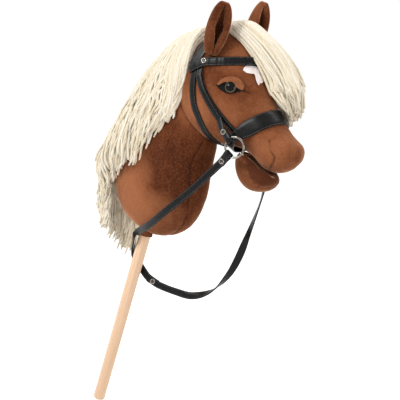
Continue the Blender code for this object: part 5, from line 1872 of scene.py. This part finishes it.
class HORSE_OT_eyes(bpy.types.Operator):
    """Dress the eyes: domes, felt almonds and lighter upper lids"""

    bl_idname = "horse.eyes"
    bl_label = "Eyes"

    def execute(self, context):
        radius = 0.0093
        dome = 0.0068
        edge = 0.001
        profile = [(0.0, dome)] + [(radius * s, edge + (dome - edge) * c) for s, c in arc(24)]
        profile += [(radius, 0.0002), (radius - 0.0004, 0.0), (0.0, 0.0)]
        for side, word in SIDE_WORDS.items():
            centre, axis, places = turning_axis("eye_" + word)
            outward = axis if axis.y * side > 0 else -axis
            top = float(((places - np.array(centre)) @ np.array(outward)).max())
            seat = centre + outward * (top - dome)
            piece = turned_piece("glass_eye_" + word, profile, 64, Vector(), Vector((0, 0, 1)))
            turn = outward.to_track_quat("Z", "Y").to_matrix().to_4x4()
            piece.matrix_world = Matrix.Translation(seat) @ turn
            bpy.context.view_layer.update()
            settle(piece, eye_material("Glossy eye", radius), "glossy_eye", "eye_" + word)
            patch = cloth_form("eye_patch_" + word, "felt_eye_" + word, PATCH_CELL, 3)
            self.drawn_in(patch, seat, outward)
            settle(patch, felt_material("Black felt"), "black_felt", "eye_patch_" + word)
            lid = cloth_form("eyelid_" + word, "velvet_lid_" + word, LID_CELL, 6)
            self.drawn_in(lid, seat, outward)
            self.lowered(lid, seat, outward)
            store(lid.data, "seam", 0.0)
            settle(lid, lid_velvet(), "light_velvet", "eyelid_" + word)
        return {"FINISHED"}

    def drawn_in(self, piece, seat, outward, start=0.0045, share=0.66):
        """Shorten a piece towards the nose, from a distance before the eye's middle, along the cheek."""
        cheek = surface_tree("head")
        forward = (HEAD_FORWARD - outward * HEAD_FORWARD.dot(outward)).normalized()

        def height(point):
            return (point - cheek.find_nearest(point)[0]).dot(outward)

        places = points_of(piece.data)
        for i, point in enumerate(places):
            point = Vector(point)
            ahead = (point - seat).dot(forward)
            if ahead < start:
                continue
            moved = point - forward * (ahead - start) * (1 - share)
            places[i] = moved + outward * (height(point) - height(moved))
        set_points(piece.data, places)

    def lowered(self, piece, seat, outward, reach=0.0135):
        """Bring the lid's lower edge down over the top of the dome."""
        places = points_of(piece.data)
        for i, point in enumerate(places):
            away = Vector(point) - seat
            level = away - outward * away.dot(outward)
            share = min(max((reach - level.length) / 0.0035, 0.0), 1.0)
            if level.length > 1e-6:
                inward = 0.0022 * share + 0.35 * max(0.0, level.length - reach)
                places[i] += np.array(outward * 0.0030 * share - level.normalized() * inward)
        set_points(piece.data, places)


# The star's inner corners as a share of its reach, and its growth and turn from the solid's
STAR_INNER_SHARE = 0.57
STAR_GROWTH = 1.08
STAR_TURN = math.radians(-8)


class HORSE_OT_star(bpy.types.Operator):
    """Dress the satin star on the forehead"""

    bl_idname = "horse.star"
    bl_label = "Star"

    def execute(self, context):
        piece = cloth_form("star_patch", "satin_star", STAR_CELL, 12)
        self.rounded(piece)
        settle(piece, satin_material("Pale satin"), "satin", "star_patch")
        return {"FINISHED"}

    def rounded(self, piece):
        """Swell the star's five points into blunt lobes, along the forehead."""
        forehead = surface_tree("head")
        places = points_of(piece.data)
        centre = places.mean(axis=0)
        facing = Vector(forehead.find_nearest(Vector(centre))[1])
        ahead = (HEAD_FORWARD - facing * HEAD_FORWARD.dot(facing)).normalized()
        across = facing.cross(ahead)
        level = np.stack([(places - centre) @ np.array(ahead), (places - centre) @ np.array(across)])
        reach = np.hypot(*level)
        angle = np.arctan2(level[1], level[0])
        half = math.pi / 5
        off = np.abs((angle - angle[reach.argmax()] + half) % (2 * half) - half)
        inner = STAR_INNER_SHARE
        # The reach of a star with straight sides at each place's angle, and that of the lobes
        straight = inner * math.sin(half) / (
            inner * math.sin(half) * np.cos(off) + (1 - inner * math.cos(half)) * np.sin(off)
        )
        lobe = (1 + inner) / 2 + (1 - inner) / 2 * 0.92 * np.cos(5 * off)
        grow = (1 + (lobe / straight - 1) * np.clip(reach / reach.max() * 2.5, 0, 1)) * STAR_GROWTH
        turned = angle + STAR_TURN
        shifts = np.stack([np.cos(turned), np.sin(turned)]) * reach * grow - level
        for i, point in enumerate(places):
            height = forehead.find_nearest(Vector(point))[3]
            moved = Vector(point) + ahead * shifts[0, i] + across * shifts[1, i]
            ground, outward, _, away = forehead.find_nearest(moved)
            inside = (moved - ground).dot(outward) < 0
            places[i] = moved + outward * (height - (-away if inside else away))
        set_points(piece.data, places)


class HORSE_OT_stick(bpy.types.Operator):
    """Dress the beech stick, and give the hidden washers their finish"""

    bl_idname = "horse.stick"
    bl_label = "Stick"

    def execute(self, context):
        radius = 0.010
        rounding = 0.0045
        low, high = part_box("stick")
        length = high.z - low.z
        profile = [(0.0, 0.0)]
        profile += [(radius - rounding + rounding * s, rounding - rounding * c) for s, c in arc(12)]
        profile += [(radius, rounding + (length - 0.0060) * k / 24) for k in range(1, 24)]
        profile += [(radius, length - 0.0015), (radius - 0.0012, length), (0.0, length)]
        piece = turned_piece("beech_stick", profile, 72, Vector((0, 0, low.z)), Vector((0, 0, 1)))
        settle(piece, beech_material("Sanded beech"), "beech", "stick")
        for word in SIDE_WORDS.values():
            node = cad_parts["eye_washer_" + word]
            node.data.materials.clear()
            node.data.materials.append(washer_material("Washer plastic"))
        return {"FINISHED"}


# ---------------------------------------------------------------- Stage


# Lights as name, place, the point that it is turned to, size in metres and power in watts
LIGHTS = (
    ("key_light", (-1.5, -1.5, 1.5), (0.05, 0.0, 0.45), 1.3, 22.0),
    ("fill_light", (2.1, -0.7, 1.1), (0.10, 0.0, 0.45), 1.2, 18.0),
    ("top_light", (0.3, 0.5, 2.3), (0.05, 0.0, 0.50), 1.3, 16.0),
    ("spark_light", (-0.65, -1.65, 1.35), (0.10, 0.0, 0.55), 0.36, 13.0),
)


class HORSE_OT_stage(bpy.types.Operator):
    """Set the pale floor, the soft lights and the camera"""

    bl_idname = "horse.stage"
    bl_label = "Stage"

    def execute(self, context):
        scene = context.scene
        self.floor()
        self.sky(scene)
        for row in LIGHTS:
            self.light(*row)
        self.camera(scene)
        scene.view_settings.view_transform = "Standard"
        return {"FINISHED"}

    def floor(self):
        half = 40.0
        corners = [(-half, -half, 0), (half, -half, 0), (half, half, 0), (-half, half, 0)]
        floor = new_piece("floor", corners, [(0, 1, 2, 3)], smooth=False)
        material, nodes, shader = finish("Pale floor", (0.80, 0.80, 0.80), 0.9)
        strength = nodes.times(self.seen(nodes), 0.66)
        glow = nodes.give(nodes.add("ShaderNodeEmission"), {"Strength": strength})
        blend = nodes.give(nodes.add("ShaderNodeAddShader"), {0: shader.outputs[0], 1: glow.outputs[0]})
        nodes.give(nodes.tree.nodes["Material Output"], {"Surface": blend.outputs[0]})
        floor.data.materials.append(material)

    def sky(self, scene):
        scene.world = bpy.data.worlds.new("White studio")
        scene.world.use_nodes = True
        nodes = Nodes(scene.world.node_tree)
        strength = nodes.plus(nodes.times(self.seen(nodes), 0.58), 0.42)
        nodes.give(nodes.tree.nodes["Background"], {"Color": (1.0, 1.0, 1.0, 1.0), "Strength": strength})

    def seen(self, nodes):
        """1 for rays straight from the camera, off metal and through glass."""
        path = nodes.add("ShaderNodeLightPath").outputs
        direct = nodes.math("MAXIMUM", path["Is Camera Ray"], path["Is Transmission Ray"])
        return nodes.math("MAXIMUM", direct, path["Is Glossy Ray"])

    def light(self, name, place, aim, size, power):
        data = bpy.data.lights.new(name, "AREA")
        data.shape = "DISK"
        data.size = size
        data.energy = power
        light = linked(name, data)
        light.location = place
        light.rotation_euler = (Vector(aim) - Vector(place)).to_track_quat("-Z", "Y").to_euler()

    def camera(self, scene):
        turn_cos, turn_sin = math.cos(CAMERA_AZIMUTH), math.sin(CAMERA_AZIMUTH)
        rise_cos, rise_sin = math.cos(CAMERA_ELEVATION), math.sin(CAMERA_ELEVATION)
        right = Vector((turn_cos, turn_sin, 0))
        up = Vector((-turn_sin * rise_sin, turn_cos * rise_sin, rise_cos))
        back = Vector((turn_sin * rise_cos, -turn_cos * rise_cos, rise_sin))
        across = right * math.cos(CAMERA_ROLL) + up * math.sin(CAMERA_ROLL)
        above = up * math.cos(CAMERA_ROLL) - right * math.sin(CAMERA_ROLL)
        data = bpy.data.cameras.new("camera")
        data.lens = CAMERA_LENS
        data.sensor_width = 36.0
        camera = linked("camera", data)
        turn = Matrix((across, above, back)).transposed().to_4x4()
        camera.matrix_world = Matrix.Translation(CAMERA_AIM + back * CAMERA_DISTANCE) @ turn
        scene.camera = camera


class HORSE_PT_panel(bpy.types.Panel):
    """Hobby horse pieces and their settings"""

    bl_idname = "HORSE_PT_panel"
    bl_label = "Hobby Horse"
    bl_space_type = "VIEW_3D"
    bl_region_type = "UI"
    bl_category = "Hobby Horse"

    def draw(self, context):
        layout = self.layout
        for operator in OPERATORS:
            layout.operator(operator.bl_idname)
        for group in (context.scene.horse_sizes, context.scene.horse_colors):
            box = layout.box()
            for name in group.__annotations__:
                box.prop(group, name)


OPERATORS = (
    HORSE_OT_stage,
    HORSE_OT_rivets,
    HORSE_OT_reins,
    HORSE_OT_rings,
    HORSE_OT_bridle,
    HORSE_OT_head,
    HORSE_OT_neck,
    HORSE_OT_jaw,
    HORSE_OT_ears,
    HORSE_OT_pocket,
    HORSE_OT_eyes,
    HORSE_OT_star,
    HORSE_OT_mane,
    HORSE_OT_forelock,
    HORSE_OT_stick,
)
CLASSES = (HorseSizes, HorseColors, *OPERATORS, HORSE_PT_panel)


def register():
    for kind in CLASSES:
        bpy.utils.register_class(kind)
    bpy.types.Scene.horse_sizes = PointerProperty(type=HorseSizes)
    bpy.types.Scene.horse_colors = PointerProperty(type=HorseColors)


def unregister():
    del bpy.types.Scene.horse_colors
    del bpy.types.Scene.horse_sizes
    for kind in reversed(CLASSES):
        bpy.utils.unregister_class(kind)


def main():
    register()
    bpy.ops.horse.stage()
    bpy.ops.horse.rivets()
    bpy.ops.horse.reins()
    bpy.ops.horse.rings()
    bpy.ops.horse.bridle()
    bpy.ops.horse.head()
    bpy.ops.horse.neck()
    bpy.ops.horse.jaw()
    bpy.ops.horse.ears()
    bpy.ops.horse.pocket()
    bpy.ops.horse.eyes()
    bpy.ops.horse.star()
    bpy.ops.horse.mane()
    bpy.ops.horse.forelock()
    bpy.ops.horse.stick()
    bpy.context.view_layer.update()


if __name__ == "__main__":
    main()
